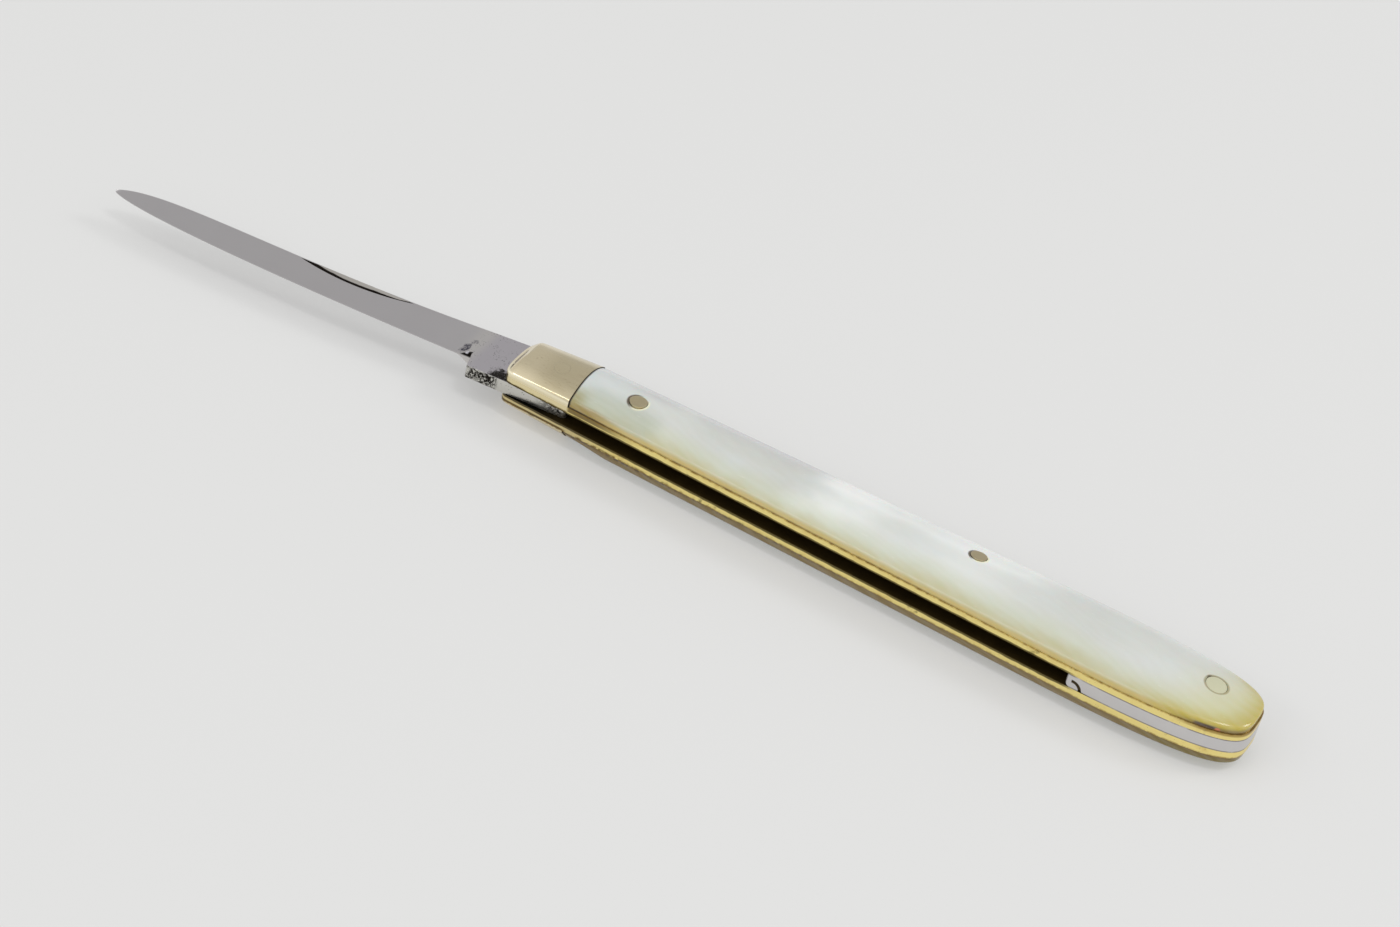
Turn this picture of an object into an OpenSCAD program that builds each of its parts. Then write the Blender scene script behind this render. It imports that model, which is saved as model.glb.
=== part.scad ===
// Folding pen knife with one slender blade, mother-of-pearl scales and a slip joint.
// The knife lies on its pile side with the blade open: blade toward -X, butt toward +X,
// back spring toward +Y, the well for the blade toward -Y, mark side up.

/* [Handle] */
// Length of the handle, from the front of the bolsters to the butt
handle_len = 84; // [76:0.5:96]
// Width that the straight sides have at the front of the bolsters
front_w = 7.2; // [6.6:0.1:8.4]
// Width that the straight sides would have if they ran on to the butt
butt_w = 11.5; // [10:0.1:13]
// Length of the rounded part of the butt
butt_round_len = 30; // [22:1:36]
// How square the butt is: 2 is an ellipse, more is squarer
butt_square = 3.6; // [2.5:0.1:5]
// Length over which the front end of the bolsters is rounded in plan
front_round_len = 1.4; // [1:0.1:2.5]
// How square the front end of the bolsters is
front_square = 3; // [2:0.1:4]

/* [Layers] */
// Thickness of each brass liner
liner_t = 0.75; // [0.5:0.05:1]
// Width of the well between the liners, which is the thickness of the spring
well_w = 1.55; // [1.3:0.05:2.4]
// Play between the blade and each liner
side_play = 0.03; // [0.02:0.01:0.06]

/* [Scales and bolsters] */
// Thickness of a scale at its crown
scale_t = 2.1; // [1.8:0.05:2.8]
// Height of the upright edge of a scale above the liner
scale_wall = 0.6; // [0.5:0.05:1]
// Radius of the rounded edge between the upright edge and the crown
scale_edge_r = 0.4; // [0.2:0.05:0.6]
// Length of the bolsters
bolster_len = 8.05; // [7.6:0.05:11]
// How much thinner a bolster is at its front end than at the scale
bolster_fall = 0.3; // [0:0.05:0.4]
// Width of the rounded edge across the front end of a bolster
front_bevel = 0.45; // [0:0.05:0.6]
// How far the upper edge of a bolster leans in on the spring side at its front end
bolster_lean = 0.4; // [0:0.05:0.5]
// How far the long edges of a scale stand back from the liner
scale_side_gap = 0.1; // [0.02:0.02:0.2]
// How far the round end of a scale stands back from the liner
scale_end_gap = 0.15; // [0.05:0.05:0.6]
// Length over which the crown of a scale runs down to the round end
scale_end_run = 12.5; // [8:0.5:16]
// Gap between a scale and its bolster
scale_joint_gap = 0.04; // [0.02:0.01:0.1]
// Share of its height that the long edge of the pile bolster has lost to wear
pile_wear = 0.65; // [0:0.05:0.7]
// Distance from the front of the bolsters at which the wear of the pile scale ends
pile_wear_end = 13; // [12:0.1:13]

/* [Blade] */
// Length of the blade in front of the bolsters
blade_len = 47.6; // [42:0.2:50]
// Length of the flat ricasso in front of the bolsters
ricasso_len = 4.4; // [3.8:0.1:5.4]
// Distance of the tip below the middle line of the handle
tip_drop = 3.1; // [2.4:0.1:3.6]
// Height of the spine above the middle line where the grind starts
heel_spine = 2.95; // [2.6:0.05:3.2]
// Distance of the cutting edge below the middle line where the grind starts
heel_edge = 1.8; // [1.5:0.05:2]
// Thickness of the spine at the tip
tip_t = 0.44; // [0.3:0.02:0.7]
// Thickness left at the cutting edge
edge_t = 0.07; // [0.04:0.01:0.12]
// Depth of the hollow grind at the middle of each side
hollow = 0.05; // [0:0.01:0.08]
// Length over which the grind runs out into the ricasso
plunge_len = 1.7; // [1:0.1:2.6]

/* [Nail nick] */
// Distance from the bolsters to the near end of the nick
nick_at = 12.9; // [11:0.1:15]
// Length of the nick
nick_len = 14; // [9:0.1:16]
// Height of the nick
nick_h = 0.9; // [0.6:0.05:1.2]
// Depth of the nick
nick_depth = 0.28; // [0.16:0.02:0.3]
// Distance of the ends of the nick from the spine
nick_inset = 0.12; // [0.04:0.02:0.3]

/* [Slip joint] */
// Distance of the pivot from the front of the bolsters
pivot_x = 5.3; // [5:0.1:5.6]
// Distance of the pivot below the middle line
pivot_drop = 0.82; // [0.6:0.02:1]
// Distance from the pivot to the flats of the tang
tang_r = 2.3; // [2.1:0.05:2.45]
// Radius of the rounded corners of the tang
tang_corner_r = 0.5; // [0.3:0.05:0.8]
// Distance from the pivot to the corner of the kick, along the closed flat
kick_reach = 9.2; // [8.8:0.1:9.8]
// Angle that the blade turns from open to closed
closed_angle = 175; // [173:0.5:178]
// Gap between the tang and the spring at rest
spring_gap = 0.03; // [0.02:0.01:0.06]
// Depth of the thin part of the spring
spring_arm = 2.4; // [2:0.1:2.8]
// Steel left round the middle pin on the well side
spring_pin_wall = 0.9; // [0.6:0.1:1.2]
// Distance from the nose of the tail to the end of the butt
tail_len = 18.25; // [15:0.25:20]

/* [Pins] */
// Diameter of the pivot pin
pivot_d = 1.7; // [1.4:0.1:2]
// Diameter of the shank of the scale, middle and butt pins
pin_d = 1.4; // [1.2:0.1:1.6]
// Diameter of the heads of the scale pins
scale_head_d = 1.9; // [1.7:0.05:2.2]
// Diameter of the heads of the middle pin
middle_head_d = 1.75; // [1.6:0.05:2.2]
// Diameter of the heads of the butt pin
butt_head_d = 2.2; // [1.8:0.05:2.4]
// Depth of a head in its seat
head_seat = 0.4; // [0.3:0.05:0.6]
// How far the heads stand proud on the mark side
head_proud = 0.1; // [0:0.02:0.16]
// How far the heads lie below the surface on the pile side, which the knife rests on
head_sunk = 0.02; // [0.01:0.01:0.06]
// Running clearance of the pivot pin in the tang, on the radius
pivot_play = 0.03; // [0.02:0.01:0.05]
// Clearance of the fixed pins, on the radius
pin_play = 0.01; // [0.01:0.01:0.03]
// Clearance of the heads in the scales, on the radius
head_play = 0.05; // [0.03:0.01:0.08]
// Distance of the scale pins from the front of the bolsters
scale_pin_x = 14.1; // [11:0.1:18]
// Distance of the scale pins below the middle line
scale_pin_drop = 0.52; // [0:0.01:1.2]
// Distance of the middle pin from the front of the bolsters
middle_pin_x = 52.1; // [48:0.1:56]
// Height of the middle pin above the middle line
middle_pin_rise = 1.6; // [1.3:0.1:2.1]
// Distance of the butt pin from the end of the butt
butt_pin_from_end = 5.15; // [4.6:0.05:7]
// Height of the butt pin above the middle line
butt_pin_rise = 0.43; // [0:0.01:0.8]

/* [Hidden] */

// Heights of the layers, from the face that the knife lies on
thickness = 2 * (scale_t + liner_t) + well_w;
mid_z = thickness / 2;
well_z = mid_z - well_w / 2;
blade_t = well_w - 2 * side_play;
// Where the rounded parts of the outline start
butt_from = handle_len - butt_round_len;
butt_pin_x = handle_len - butt_pin_from_end;
nose_x = handle_len - tail_len;
pivot = [pivot_x, -pivot_drop];
scale_pin = [scale_pin_x, -scale_pin_drop];
middle_pin_at = [middle_pin_x, middle_pin_rise];
butt_pin_at = [butt_pin_x, butt_pin_rise];
// Radius of the slightly domed faces of the pin heads
head_crown_r = 12;
// Radius of the domed ends of the pivot pin, which follow the bolsters
pivot_crown_r = 7.4;
// Steps in which each quarter of a rounded end is made
quarter_steps = 24;

// Half the width between the straight sides at x
function side_w(x) = front_w / 2 + (butt_w - front_w) / 2 * x / handle_len;

// Point of a rounded end: rho is 1 on the outline and 0 on the middle line, and run is
// the length over which the inner rows run down to the end
function end_point(from, to, square, inset, rho, phi, run) =
    let (r = 1 / pow(pow(cos(phi), square) + pow(abs(sin(phi)), square), 1 / square),
         x = from + r * row_len(to - from, rho, run) * cos(phi))
    [x, r * rho * (side_w(x) - inset) * sin(phi)];
function row_len(length, rho, run) = length - sign(length) * run * (1 - rho);

// Half the width of the outline at x
function half_w(x) =
    let (u = max(0, (x - butt_from) / butt_round_len),
         f = max(0, 1 - x / front_round_len))
    side_w(x) * pow(1 - pow(min(u, 1), butt_square), 1 / butt_square)
              * pow(1 - pow(min(f, 1), front_square), 1 / front_square);

butt_angles = [for (i = [-quarter_steps : quarter_steps]) 90 * i / quarter_steps];

// Middle of the open knife, which is the origin
mid_x = (handle_len - blade_len) / 2;

// Outline of the liners, anticlockwise from the belly side of the front end
handle_outline = concat(
    [for (a = butt_angles) end_point(butt_from, handle_len, butt_square, 0, 1, a, 0)],
    [for (a = butt_angles) end_point(front_round_len, 0, front_square, 0, 1, -a, 0)]);

// Height profile of a scale over its liner, as pairs of rho and height, from the edge inward
mid_half_w = side_w(handle_len / 2);
edge_end_angle = 60;
crown_rho = 1 - scale_edge_r * (1 - cos(edge_end_angle)) / mid_half_w;
crown_z = scale_wall + scale_edge_r * sin(edge_end_angle);
// Share of the half width that is flat at the crown
flat_share = 0.14;
dome_h = (scale_t - crown_z) / (1 - flat_share * flat_share);
scale_profile = concat(
    [[1, 0]],
    [for (a = [0 : edge_end_angle / 4 : edge_end_angle])
        [1 - scale_edge_r * (1 - cos(a)) / mid_half_w, scale_wall + scale_edge_r * sin(a)]],
    [for (s = [0.85, 0.68, 0.5, 0.32, flat_share])
        [s * crown_rho, crown_z + dome_h * (1 - s * s)]]);

// Share of the way from the scale to the front end of a bolster
function front_share(x) = max(0, 1 - x / bolster_len);

// Which row of the dome runs through a point, by halving
function row_at(x, y, lo = 0, hi = 1, turns = 20) =
    let (rho = (lo + hi) / 2,
         u = max(0, x - butt_from)
             / row_len(butt_round_len - scale_end_gap, rho, scale_end_run),
         s = abs(y) / (rho * side_w(x)))
    turns == 0 ? rho
    : pow(u, butt_square) + pow(s, butt_square) > 1 ? row_at(x, y, rho, hi, turns - 1)
    : row_at(x, y, lo, rho, turns - 1);

// Height of the domed surface over the liner at a point
function dome_z(x, y) =
    let (s = max(flat_share, row_at(x, y) / crown_rho))
    crown_z + dome_h * (1 - s * s) - bolster_fall * front_share(x);

// Outward direction of the domed surface at a point
function dome_normal(x, y) =
    let (d = 0.01,
         gx = (dome_z(x + d, y) - dome_z(x - d, y)) / (2 * d),
         gy = (dome_z(x, y + d) - dome_z(x, y - d)) / (2 * d))
    [-gx, -gy, 1] / norm([-gx, -gy, 1]);

function reversed(faces) = [for (f = faces) [for (i = [len(f) - 1 : -1 : 0]) f[i]]];

// Triangles that join one row of points across the plate, strip by strip
function flat_cap(rows, columns, row) =
    let (half = (columns - 1) / 2)
    concat(
        [for (k = [0 : half - 2])
            each let (a = k * rows + row, b = (columns - 1 - k) * rows + row)
            [[a, b, b - rows], [a, b - rows, a + rows]]],
        [[(half - 1) * rows + row, (half + 1) * rows + row, half * rows + row]]);

// Share of its height that the edge of a plate has lost at x, and how far that reaches inward
function worn_share(x, wear) =
    wear * max(0, min(1, (pile_wear_end - x) / (pile_wear_end - bolster_len)));
wear_from = 0.4;
function wear_reach(rho) = pow(max(0, min(1, (rho / crown_rho - wear_from) / (1 - wear_from))), 2);

// Solid plate with a domed top that lies on z = 0, cut off square at cut_x.
// Its other end is rounded from from_x to end_x, with a bevel along its upper edge.
module domed_plate(cut_x, from_x, end_x, square, inset, run, bevel, wear) {
    flipped = end_x < cut_x;
    stations = 3;
    straight = [for (i = [0 : stations - 1]) cut_x + (from_x - cut_x) * i / stations];
    rows = len(scale_profile);
    columns = 2 * stations + len(butt_angles);
    points = [for (k = [0 : columns - 1]) for (row = scale_profile)
        let (last = columns - 1 - k,
             p = k < stations ? [straight[k], -row[0] * (side_w(straight[k]) - inset)]
               : last < stations ? [straight[last], row[0] * (side_w(straight[last]) - inset)]
               : end_point(from_x, end_x, square, inset, row[0], butt_angles[k - stations], run),
             bevel_share = max(0, min(1, (row[1] - scale_wall) / (crown_z - scale_wall))),
             end_share = k < stations || last < stations ? 0 : cos(butt_angles[k - stations]),
             slope_in = sign(cut_x - end_x) * bevel * bevel_share * end_share,
             lean = bolster_lean * front_share(p[0]) * min(1, row[1] / scale_wall)
                    * max(0, p[1]) / side_w(p[0]),
             fall = row[1] == 0 ? 0 : bolster_fall * front_share(p[0]),
             worn = worn_share(p[0], wear) * wear_reach(row[0]) * (min(row[1], crown_z) - fall))
        [p[0] + slope_in, p[1] - lean, row[1] - fall - worn]];
    sides = [for (k = [0 : columns - 2]) for (j = [0 : rows - 2])
        each let (a = k * rows + j, b = a + rows) [[a, a + 1, b + 1], [a, b + 1, b]]];
    cut_face = [for (j = [0 : rows - 2])
        each let (a = j, b = (columns - 1) * rows + j) [[a, b, b + 1], [a, b + 1, a + 1]]];
    faces = concat(sides, flat_cap(rows, columns, rows - 1), reversed(flat_cap(rows, columns, 0)),
                   cut_face);
    polyhedron(points, flipped ? reversed(faces) : faces, convexity = 4);
}

// What it holds, once as it is on the mark side or turned over to the pile side
module on_side(pile) {
    if (pile) translate([0, 0, thickness]) mirror([0, 0, 1]) children();
    else children();
}

module pin_bore(at, d, z0, z1) {
    translate([at[0], at[1], z0]) cylinder(d = d, h = z1 - z0, $fn = 48);
}

// Height of a pin head's top over the bottom of the knife, on the mark side
function head_top(at) = thickness - scale_t + dome_z(at[0], at[1]);

// Shank and head of a rivet that ends at the domed surface of the mark side
module rivet_end(at, head_d, proud, from_z) {
    top = head_top(at) + proud;
    n = dome_normal(at[0], at[1]);
    intersection() {
        union() {
            pin_bore(at, pin_d, from_z, top + 1);
            pin_bore(at, head_d, head_top(at) - head_seat, top + 1);
        }
        translate([at[0], at[1], top] - head_crown_r * n) sphere(r = head_crown_r, $fn = 96);
    }
}

// Hole and head seat in the scale of the mark side
module rivet_hole(at, head_d) {
    pin_bore(at, pin_d + 2 * pin_play, thickness - scale_t - 1, thickness + 1);
    pin_bore(at, head_d + 2 * head_play, head_top(at) - head_seat - pin_play, thickness + 1);
}

function bezier(p, t) = pow(1 - t, 3) * p[0] + 3 * t * pow(1 - t, 2) * p[1]
                      + 3 * t * t * (1 - t) * p[2] + pow(t, 3) * p[3];

ground_len = blade_len - ricasso_len;
// The curves of spine and edge meet just beyond the narrow face that the blade ends in
point_cut = 0.08;
tip = [-blade_len - point_cut, -tip_drop];
spine_heel = [-ricasso_len, heel_spine];
edge_heel = [-ricasso_len, -heel_edge];
// The handles that bend each curve, from its ends: share of the ground length, and height
spine_heel_handle = [-0.55, -4.17];
spine_tip_handle = [0.0935, 4];
edge_heel_handle = [-0.333, -1.5];
edge_tip_handle = [0.08, -2.15];
function bent(end, handle) = end + [ground_len * handle[0], handle[1]];
spine_curve = [spine_heel, bent(spine_heel, spine_heel_handle), bent(tip, spine_tip_handle), tip];
edge_curve = [edge_heel, bent(edge_heel, edge_heel_handle), bent(tip, edge_tip_handle), tip];

// Height of a curve of the blade at x, by halving
function height_at(curve, x, lo = 0, hi = 1, turns = 20) =
    let (m = (lo + hi) / 2)
    turns == 0 ? bezier(curve, m)[1]
    : bezier(curve, m)[0] > x ? height_at(curve, x, m, hi, turns - 1)
    : height_at(curve, x, lo, m, turns - 1);
function spine_y(x) = height_at(spine_curve, x);
function edge_y(x) = height_at(edge_curve, x);

// Half the thickness of the spine at x
function spine_half(x) = (blade_t + (tip_t - blade_t) * (-x - ricasso_len) / ground_len) / 2;
// How far the grind has come in from the ricasso: 0 is none and 1 is full
function ground_share(x) =
    let (s = min(1, (-x - ricasso_len) / plunge_len)) s * s * (3 - 2 * s);

// Places of the blade's cross sections, as shares of the ground length, and of the points on them
plunge_steps = 8;
main_steps = 25;
main_step = 0.0345;
main_from = 0.04;
tip_places = [0.93, 0.952, 0.968, 0.98, 0.989, 0.995, 1];
chord_steps = [0, 0.2, 0.45, 0.72, 1];
// Half the thickness of the blade at a share of the way from the edge to the spine
function half_at(x, share) =
    let (h = spine_half(x),
         g = ground_share(x),
         lean = (h - edge_t / 2) / (blade_t / 2 - edge_t / 2),
         e = h + (edge_t / 2 - h) * g)
    e + (h - e) * share - hollow * lean * g * 4 * share * (1 - share);

module ground_blade() {
    stations = concat(
        [for (i = [0 : plunge_steps - 1]) plunge_len / ground_len * i / (plunge_steps - 1)],
        [for (i = [1 : main_steps]) main_from + i * main_step], tip_places);
    n = len(chord_steps);
    points = [for (u = stations)
        let (x = -ricasso_len - ground_len * u, s = spine_y(x), e = edge_y(x))
        each concat([for (c = chord_steps) [x, e + (s - e) * c, half_at(x, c)]],
                    [for (i = [n - 1 : -1 : 0])
                        let (c = chord_steps[i]) [x, e + (s - e) * c, -half_at(x, c)]])];
    ring = 2 * n;
    last = len(stations) - 1;
    faces = concat(
        [for (i = [0 : n - 2])
            each let (a = i, b = ring - 1 - i) [[a, a + 1, b - 1], [a, b - 1, b]]],
        [for (k = [0 : last - 1]) for (i = [0 : ring - 1])
            each let (a = k * ring + i, b = k * ring + (i + 1) % ring)
            [[a, b + ring, b], [a, a + ring, b + ring]]],
        [for (i = [0 : n - 2])
            each let (a = last * ring + i, b = last * ring + ring - 1 - i)
            [[a, b - 1, a + 1], [a, b, b - 1]]]);
    translate([0, 0, mid_z]) polyhedron(points, faces, convexity = 4);
}

function arc(centre, r, a0, a1, steps) =
    [for (i = [0 : steps]) let (a = a0 + (a1 - a0) * i / steps) centre + r * [cos(a), sin(a)]];

// The closed flat looks this far below +X while the blade is open
closed_dir = closed_angle - 90;
closed_normal = [cos(closed_dir), -sin(closed_dir)];
along_closed = [-sin(closed_dir), -cos(closed_dir)];
corner_in = tang_r - tang_corner_r;
lower_corner = pivot + [corner_in, -corner_in * (1 - cos(closed_dir)) / sin(closed_dir)];
upper_corner = pivot + [corner_in, corner_in];
kick_corner = pivot + tang_r * closed_normal + kick_reach * along_closed;
shoulder_x = pivot_x - tang_r;
kick_corner_r = 0.25;
kick_lean = 0.35;
// How far the shoulder of the tang comes out in front of the bolsters, and how far it is let in
shoulder_out = 0.6;
shoulder_drop = 0.05;

tang_outline = concat(
    [spine_heel, edge_heel],
    arc(kick_corner + [kick_corner_r - kick_lean / 2, kick_corner_r], kick_corner_r, 195, 265, 4),
    arc(lower_corner, tang_corner_r, -closed_dir, 0, 6),
    arc(upper_corner, tang_corner_r, 0, 90, 6),
    [[shoulder_x, pivot[1] + tang_r],
     [shoulder_x, half_w(shoulder_x)],
     [-shoulder_out, half_w(front_round_len) - shoulder_drop]]);

// Cut of a large wheel whose rim makes the deep lower line of the nail nick
module nail_nick() {
    xa = -nick_at;
    xb = -nick_at - nick_len;
    xm = (xa + xb) / 2;
    a = [xa, spine_y(xa) - nick_inset, mid_z + half_at(xa, 1)];
    b = [xb, spine_y(xb) - nick_inset, mid_z + half_at(xb, 1)];
    face_lean = atan((spine_half(xm) - edge_t / 2) / (spine_y(xm) - edge_y(xm)));
    chord = b - a;
    wheel_r = norm(chord) * norm(chord) / (8 * nick_h) + nick_h / 2;
    wheel_t = 3;
    lean = asin(2 * nick_depth / nick_h) / 2;
    translate((a + b) / 2)
        rotate([0, 0, atan2(-chord[1], -chord[0])])
            rotate([0, -asin(-chord[2] / norm(chord)), 0])
                rotate([lean + face_lean, 0, 0])
                    translate([0, wheel_r - nick_h * cos(lean), 0])
                        cylinder(r = wheel_r, h = wheel_t, $fn = 180);
}

module blade() {
    color("#9e989b") difference() {
        union() {
            translate([0, 0, mid_z - blade_t / 2]) linear_extrude(blade_t) polygon(tang_outline);
            ground_blade();
        }
        pin_bore(pivot, pivot_d + 2 * pivot_play, -1, thickness + 1);
        nail_nick();
    }
}

module pivot_pin() {
    h = thickness - scale_t + dome_z(pivot[0], pivot[1]);
    n = dome_normal(pivot[0], pivot[1]);
    color("#b9af91") intersection() {
        pin_bore(pivot, pivot_d, 0, thickness);
        translate([pivot[0], pivot[1], h] - pivot_crown_r * n)
            sphere(r = pivot_crown_r, $fn = 96);
        translate([pivot[0], pivot[1], thickness - h] - pivot_crown_r * [n[0], n[1], -n[2]])
            sphere(r = pivot_crown_r, $fn = 96);
    }
}

spring_face = pivot[1] + tang_r + spring_gap;
spring_tip_x = shoulder_x + spring_gap + 0.02;
// The straight face runs on past the place where the kick lands when the knife is closed
landing_x = pivot_x + kick_reach + 2;
// The spring is deepest round the middle pin: half the length of that part, and the lengths
// over which the spring deepens in front of it and thins again behind it
hump_y = middle_pin_rise - pin_d / 2 - spring_pin_wall;
hump_flat = 2;
hump_rise = 12;
hump_fall = 6;
hump_from = middle_pin_x - hump_flat - hump_rise;
// The end wall of the well: its radius, how far it leans back at its top, how much deeper the
// spring is there than along its arm, and the radius of the nose below it
tail_arc_r = 3.2;
tail_lean = 2.2;
tail_step = 0.6;
nose_round = 0.35;

function ease(s) = s * s * (3 - 2 * s);
function arm_y(x) = half_w(x) - spring_arm;

// Well side of the spring, from the tip to the tail
spring_inner = concat(
    [[spring_tip_x, spring_face], [landing_x, spring_face]],
    [for (i = [1 : 8]) let (s = i / 8, x = landing_x + (hump_from - landing_x) * s)
        [x, spring_face + (arm_y(x) - spring_face) * ease(s)]],
    [for (i = [1 : 10]) let (s = i / 10, x = hump_from + hump_rise * s)
        [x, arm_y(x) + (hump_y - arm_y(x)) * ease(s)]],
    [for (i = [0 : 8]) let (s = i / 8, x = middle_pin_x + hump_flat + hump_fall * s)
        [x, hump_y + (arm_y(x) - tail_step - hump_y) * ease(s)]]);

// End wall of the well, down to the nose of the tail
tail_wall = concat(
    arc([nose_x - tail_arc_r + tail_lean, arm_y(nose_x) - tail_step - tail_arc_r],
        tail_arc_r, 80, 0, 8),
    arc([nose_x + nose_round, -half_w(nose_x) + nose_round], nose_round, 180, 270, 4));

spring_outline = concat(
    spring_inner, tail_wall,
    [for (a = butt_angles)
        let (p = end_point(butt_from, handle_len, butt_square, 0, 1, a, 0))
        if (p[1] > 0 || p[0] > nose_x + 1) p],
    [[spring_tip_x, half_w(spring_tip_x)]]);

// Rounded lower corner of the nose, the small curled groove behind it and the narrow
// opening between the tail and the liner there
nose_corner_r = 0.8;
groove_r = 0.96;
groove_d = 0.34;
groove_x = 0.78;
groove_sink = 0.1;
opening_h = 0.14;
opening_from = 1.5;
opening_to = 3.5;
opening_depth = 0.5;

module nose_cuts() {
    nose_y = -half_w(nose_x + groove_r);
    translate([nose_x, nose_y - 1, well_z]) rotate([-90, 0, 0])
        linear_extrude(2.2) difference() {
            translate([-1, -nose_corner_r]) square([1 + nose_corner_r, 1 + nose_corner_r]);
            translate([nose_corner_r, -nose_corner_r]) circle(r = nose_corner_r, $fn = 48);
        }
    translate([nose_x + groove_x, nose_y, well_z - groove_sink]) rotate([90, 0, 0])
        rotate_extrude(angle = 98, $fn = 72) translate([groove_r, 0]) circle(d = groove_d, $fn = 24);
    translate([nose_x, nose_y + opening_depth, well_z]) rotate([90, 0, 0])
        linear_extrude(2) polygon([[opening_from, -1], [opening_from, opening_h],
                                   [opening_to, 0], [opening_to, -1]]);
}

module back_spring() {
    color("#b5b4b5") difference() {
        translate([0, 0, well_z]) linear_extrude(well_w) polygon(spring_outline);
        pin_bore(middle_pin_at, pin_d + 2 * pin_play, -1, thickness + 1);
        pin_bore(butt_pin_at, pin_d + 2 * pin_play, -1, thickness + 1);
        nose_cuts();
    }
}

module liner(pile) {
    on_side(pile) difference() {
        translate([0, 0, well_z + well_w]) linear_extrude(liner_t) polygon(handle_outline);
        pin_bore(pivot, pivot_d + 2 * pin_play, 0, thickness);
        for (at = [scale_pin, middle_pin_at, butt_pin_at])
            pin_bore(at, pin_d + 2 * pin_play, 0, thickness);
    }
}

module mark_liner() { color("#d8c476") liner(false); }
module pile_liner() { color("#d8c476") liner(true); }

module bolster(pile) {
    on_side(pile) difference() {
        translate([0, 0, thickness - scale_t])
            domed_plate(bolster_len, front_round_len, 0, front_square, 0, front_round_len,
                        front_bevel, pile ? pile_wear : 0);
        pin_bore(pivot, pivot_d + 2 * pin_play, 0, thickness + 1);
    }
}

module mark_bolster() { color("#c1b793") bolster(false); }
module pile_bolster() { color("#c1b793") bolster(true); }

module scale_plate(pile) {
    on_side(pile) difference() {
        translate([0, 0, thickness - scale_t])
            domed_plate(bolster_len + scale_joint_gap, butt_from, handle_len - scale_end_gap,
                        butt_square, scale_side_gap, scale_end_run, 0, pile ? pile_wear : 0);
        rivet_hole(scale_pin, scale_head_d);
        rivet_hole(middle_pin_at, middle_head_d);
        rivet_hole(butt_pin_at, butt_head_d);
    }
}

module mark_scale() { color("#d3d8cf") scale_plate(false); }
module pile_scale() { color("#d3d8cf") scale_plate(true); }

module mark_scale_pin() {
    color("#ada480") rivet_end(scale_pin, scale_head_d, head_proud, well_z + well_w);
}

module pile_scale_pin() {
    color("#ada480") on_side(true)
        rivet_end(scale_pin, scale_head_d, -head_sunk, well_z + well_w);
}

// Rivet from scale to scale
module through_rivet(at, head_d, proud) {
    rivet_end(at, head_d, proud, mid_z);
    on_side(true) rivet_end(at, head_d, -head_sunk, mid_z);
}

module middle_pin() { color("#aea886") through_rivet(middle_pin_at, middle_head_d, head_proud); }
module butt_pin() { color("#aea886") through_rivet(butt_pin_at, butt_head_d, 0); }

// The knife is moved so that the middle of its lowest side is the origin
module place() { translate([-mid_x, 0, 0]) children(); }

place() blade();
place() pivot_pin();
place() back_spring();
place() mark_liner();
place() pile_liner();
place() mark_bolster();
place() pile_bolster();
place() mark_scale();
place() pile_scale();
place() mark_scale_pin();
place() pile_scale_pin();
place() middle_pin();
place() butt_pin();
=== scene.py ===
"""Looks of the folding pen knife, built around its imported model.

Lengths are in millimetres and in handle coordinates until a mesh is made: x runs from the front
of the bolsters to the butt, y towards the back spring, z up from the face the knife lies on.
"""
import math

import bmesh
import bpy
from mathutils import Matrix, Vector


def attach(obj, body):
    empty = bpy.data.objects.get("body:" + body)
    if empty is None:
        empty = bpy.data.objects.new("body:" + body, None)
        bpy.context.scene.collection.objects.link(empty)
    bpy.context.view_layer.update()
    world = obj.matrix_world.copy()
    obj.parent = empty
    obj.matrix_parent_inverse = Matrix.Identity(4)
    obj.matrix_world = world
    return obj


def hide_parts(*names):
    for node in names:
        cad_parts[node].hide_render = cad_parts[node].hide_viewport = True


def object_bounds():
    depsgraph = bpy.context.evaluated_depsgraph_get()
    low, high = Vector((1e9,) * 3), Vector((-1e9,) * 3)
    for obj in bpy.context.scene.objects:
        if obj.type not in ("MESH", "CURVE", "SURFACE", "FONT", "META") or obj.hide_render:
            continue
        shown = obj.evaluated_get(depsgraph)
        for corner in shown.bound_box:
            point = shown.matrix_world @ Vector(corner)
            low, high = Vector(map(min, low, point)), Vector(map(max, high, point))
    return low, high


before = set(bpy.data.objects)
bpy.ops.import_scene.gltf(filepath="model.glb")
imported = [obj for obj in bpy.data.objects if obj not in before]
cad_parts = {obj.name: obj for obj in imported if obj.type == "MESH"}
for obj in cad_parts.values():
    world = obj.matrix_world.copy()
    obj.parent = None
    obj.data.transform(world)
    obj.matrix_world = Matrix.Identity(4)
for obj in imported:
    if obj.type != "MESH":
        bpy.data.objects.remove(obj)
cad_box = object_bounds()

MM = 0.001
WIDEST = cad_box[1][1] / MM

# Handle
HANDLE_LEN = 84
FRONT_W = 7.2
BUTT_W = 11.5
BUTT_ROUND_LEN = 30
BUTT_SQUARE = 3.6
FRONT_ROUND_LEN = 1.4
FRONT_SQUARE = 3
BUTT_FROM = HANDLE_LEN - BUTT_ROUND_LEN

# Layers
LINER_T = 0.75
WELL_W = 1.55
SCALE_T = 2.1
THICKNESS = 2 * (SCALE_T + LINER_T) + WELL_W
SCALE_Z = THICKNESS - SCALE_T
MID_Z = THICKNESS / 2
WELL_Z = MID_Z - WELL_W / 2
BLADE_T = WELL_W - 0.06

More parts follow.
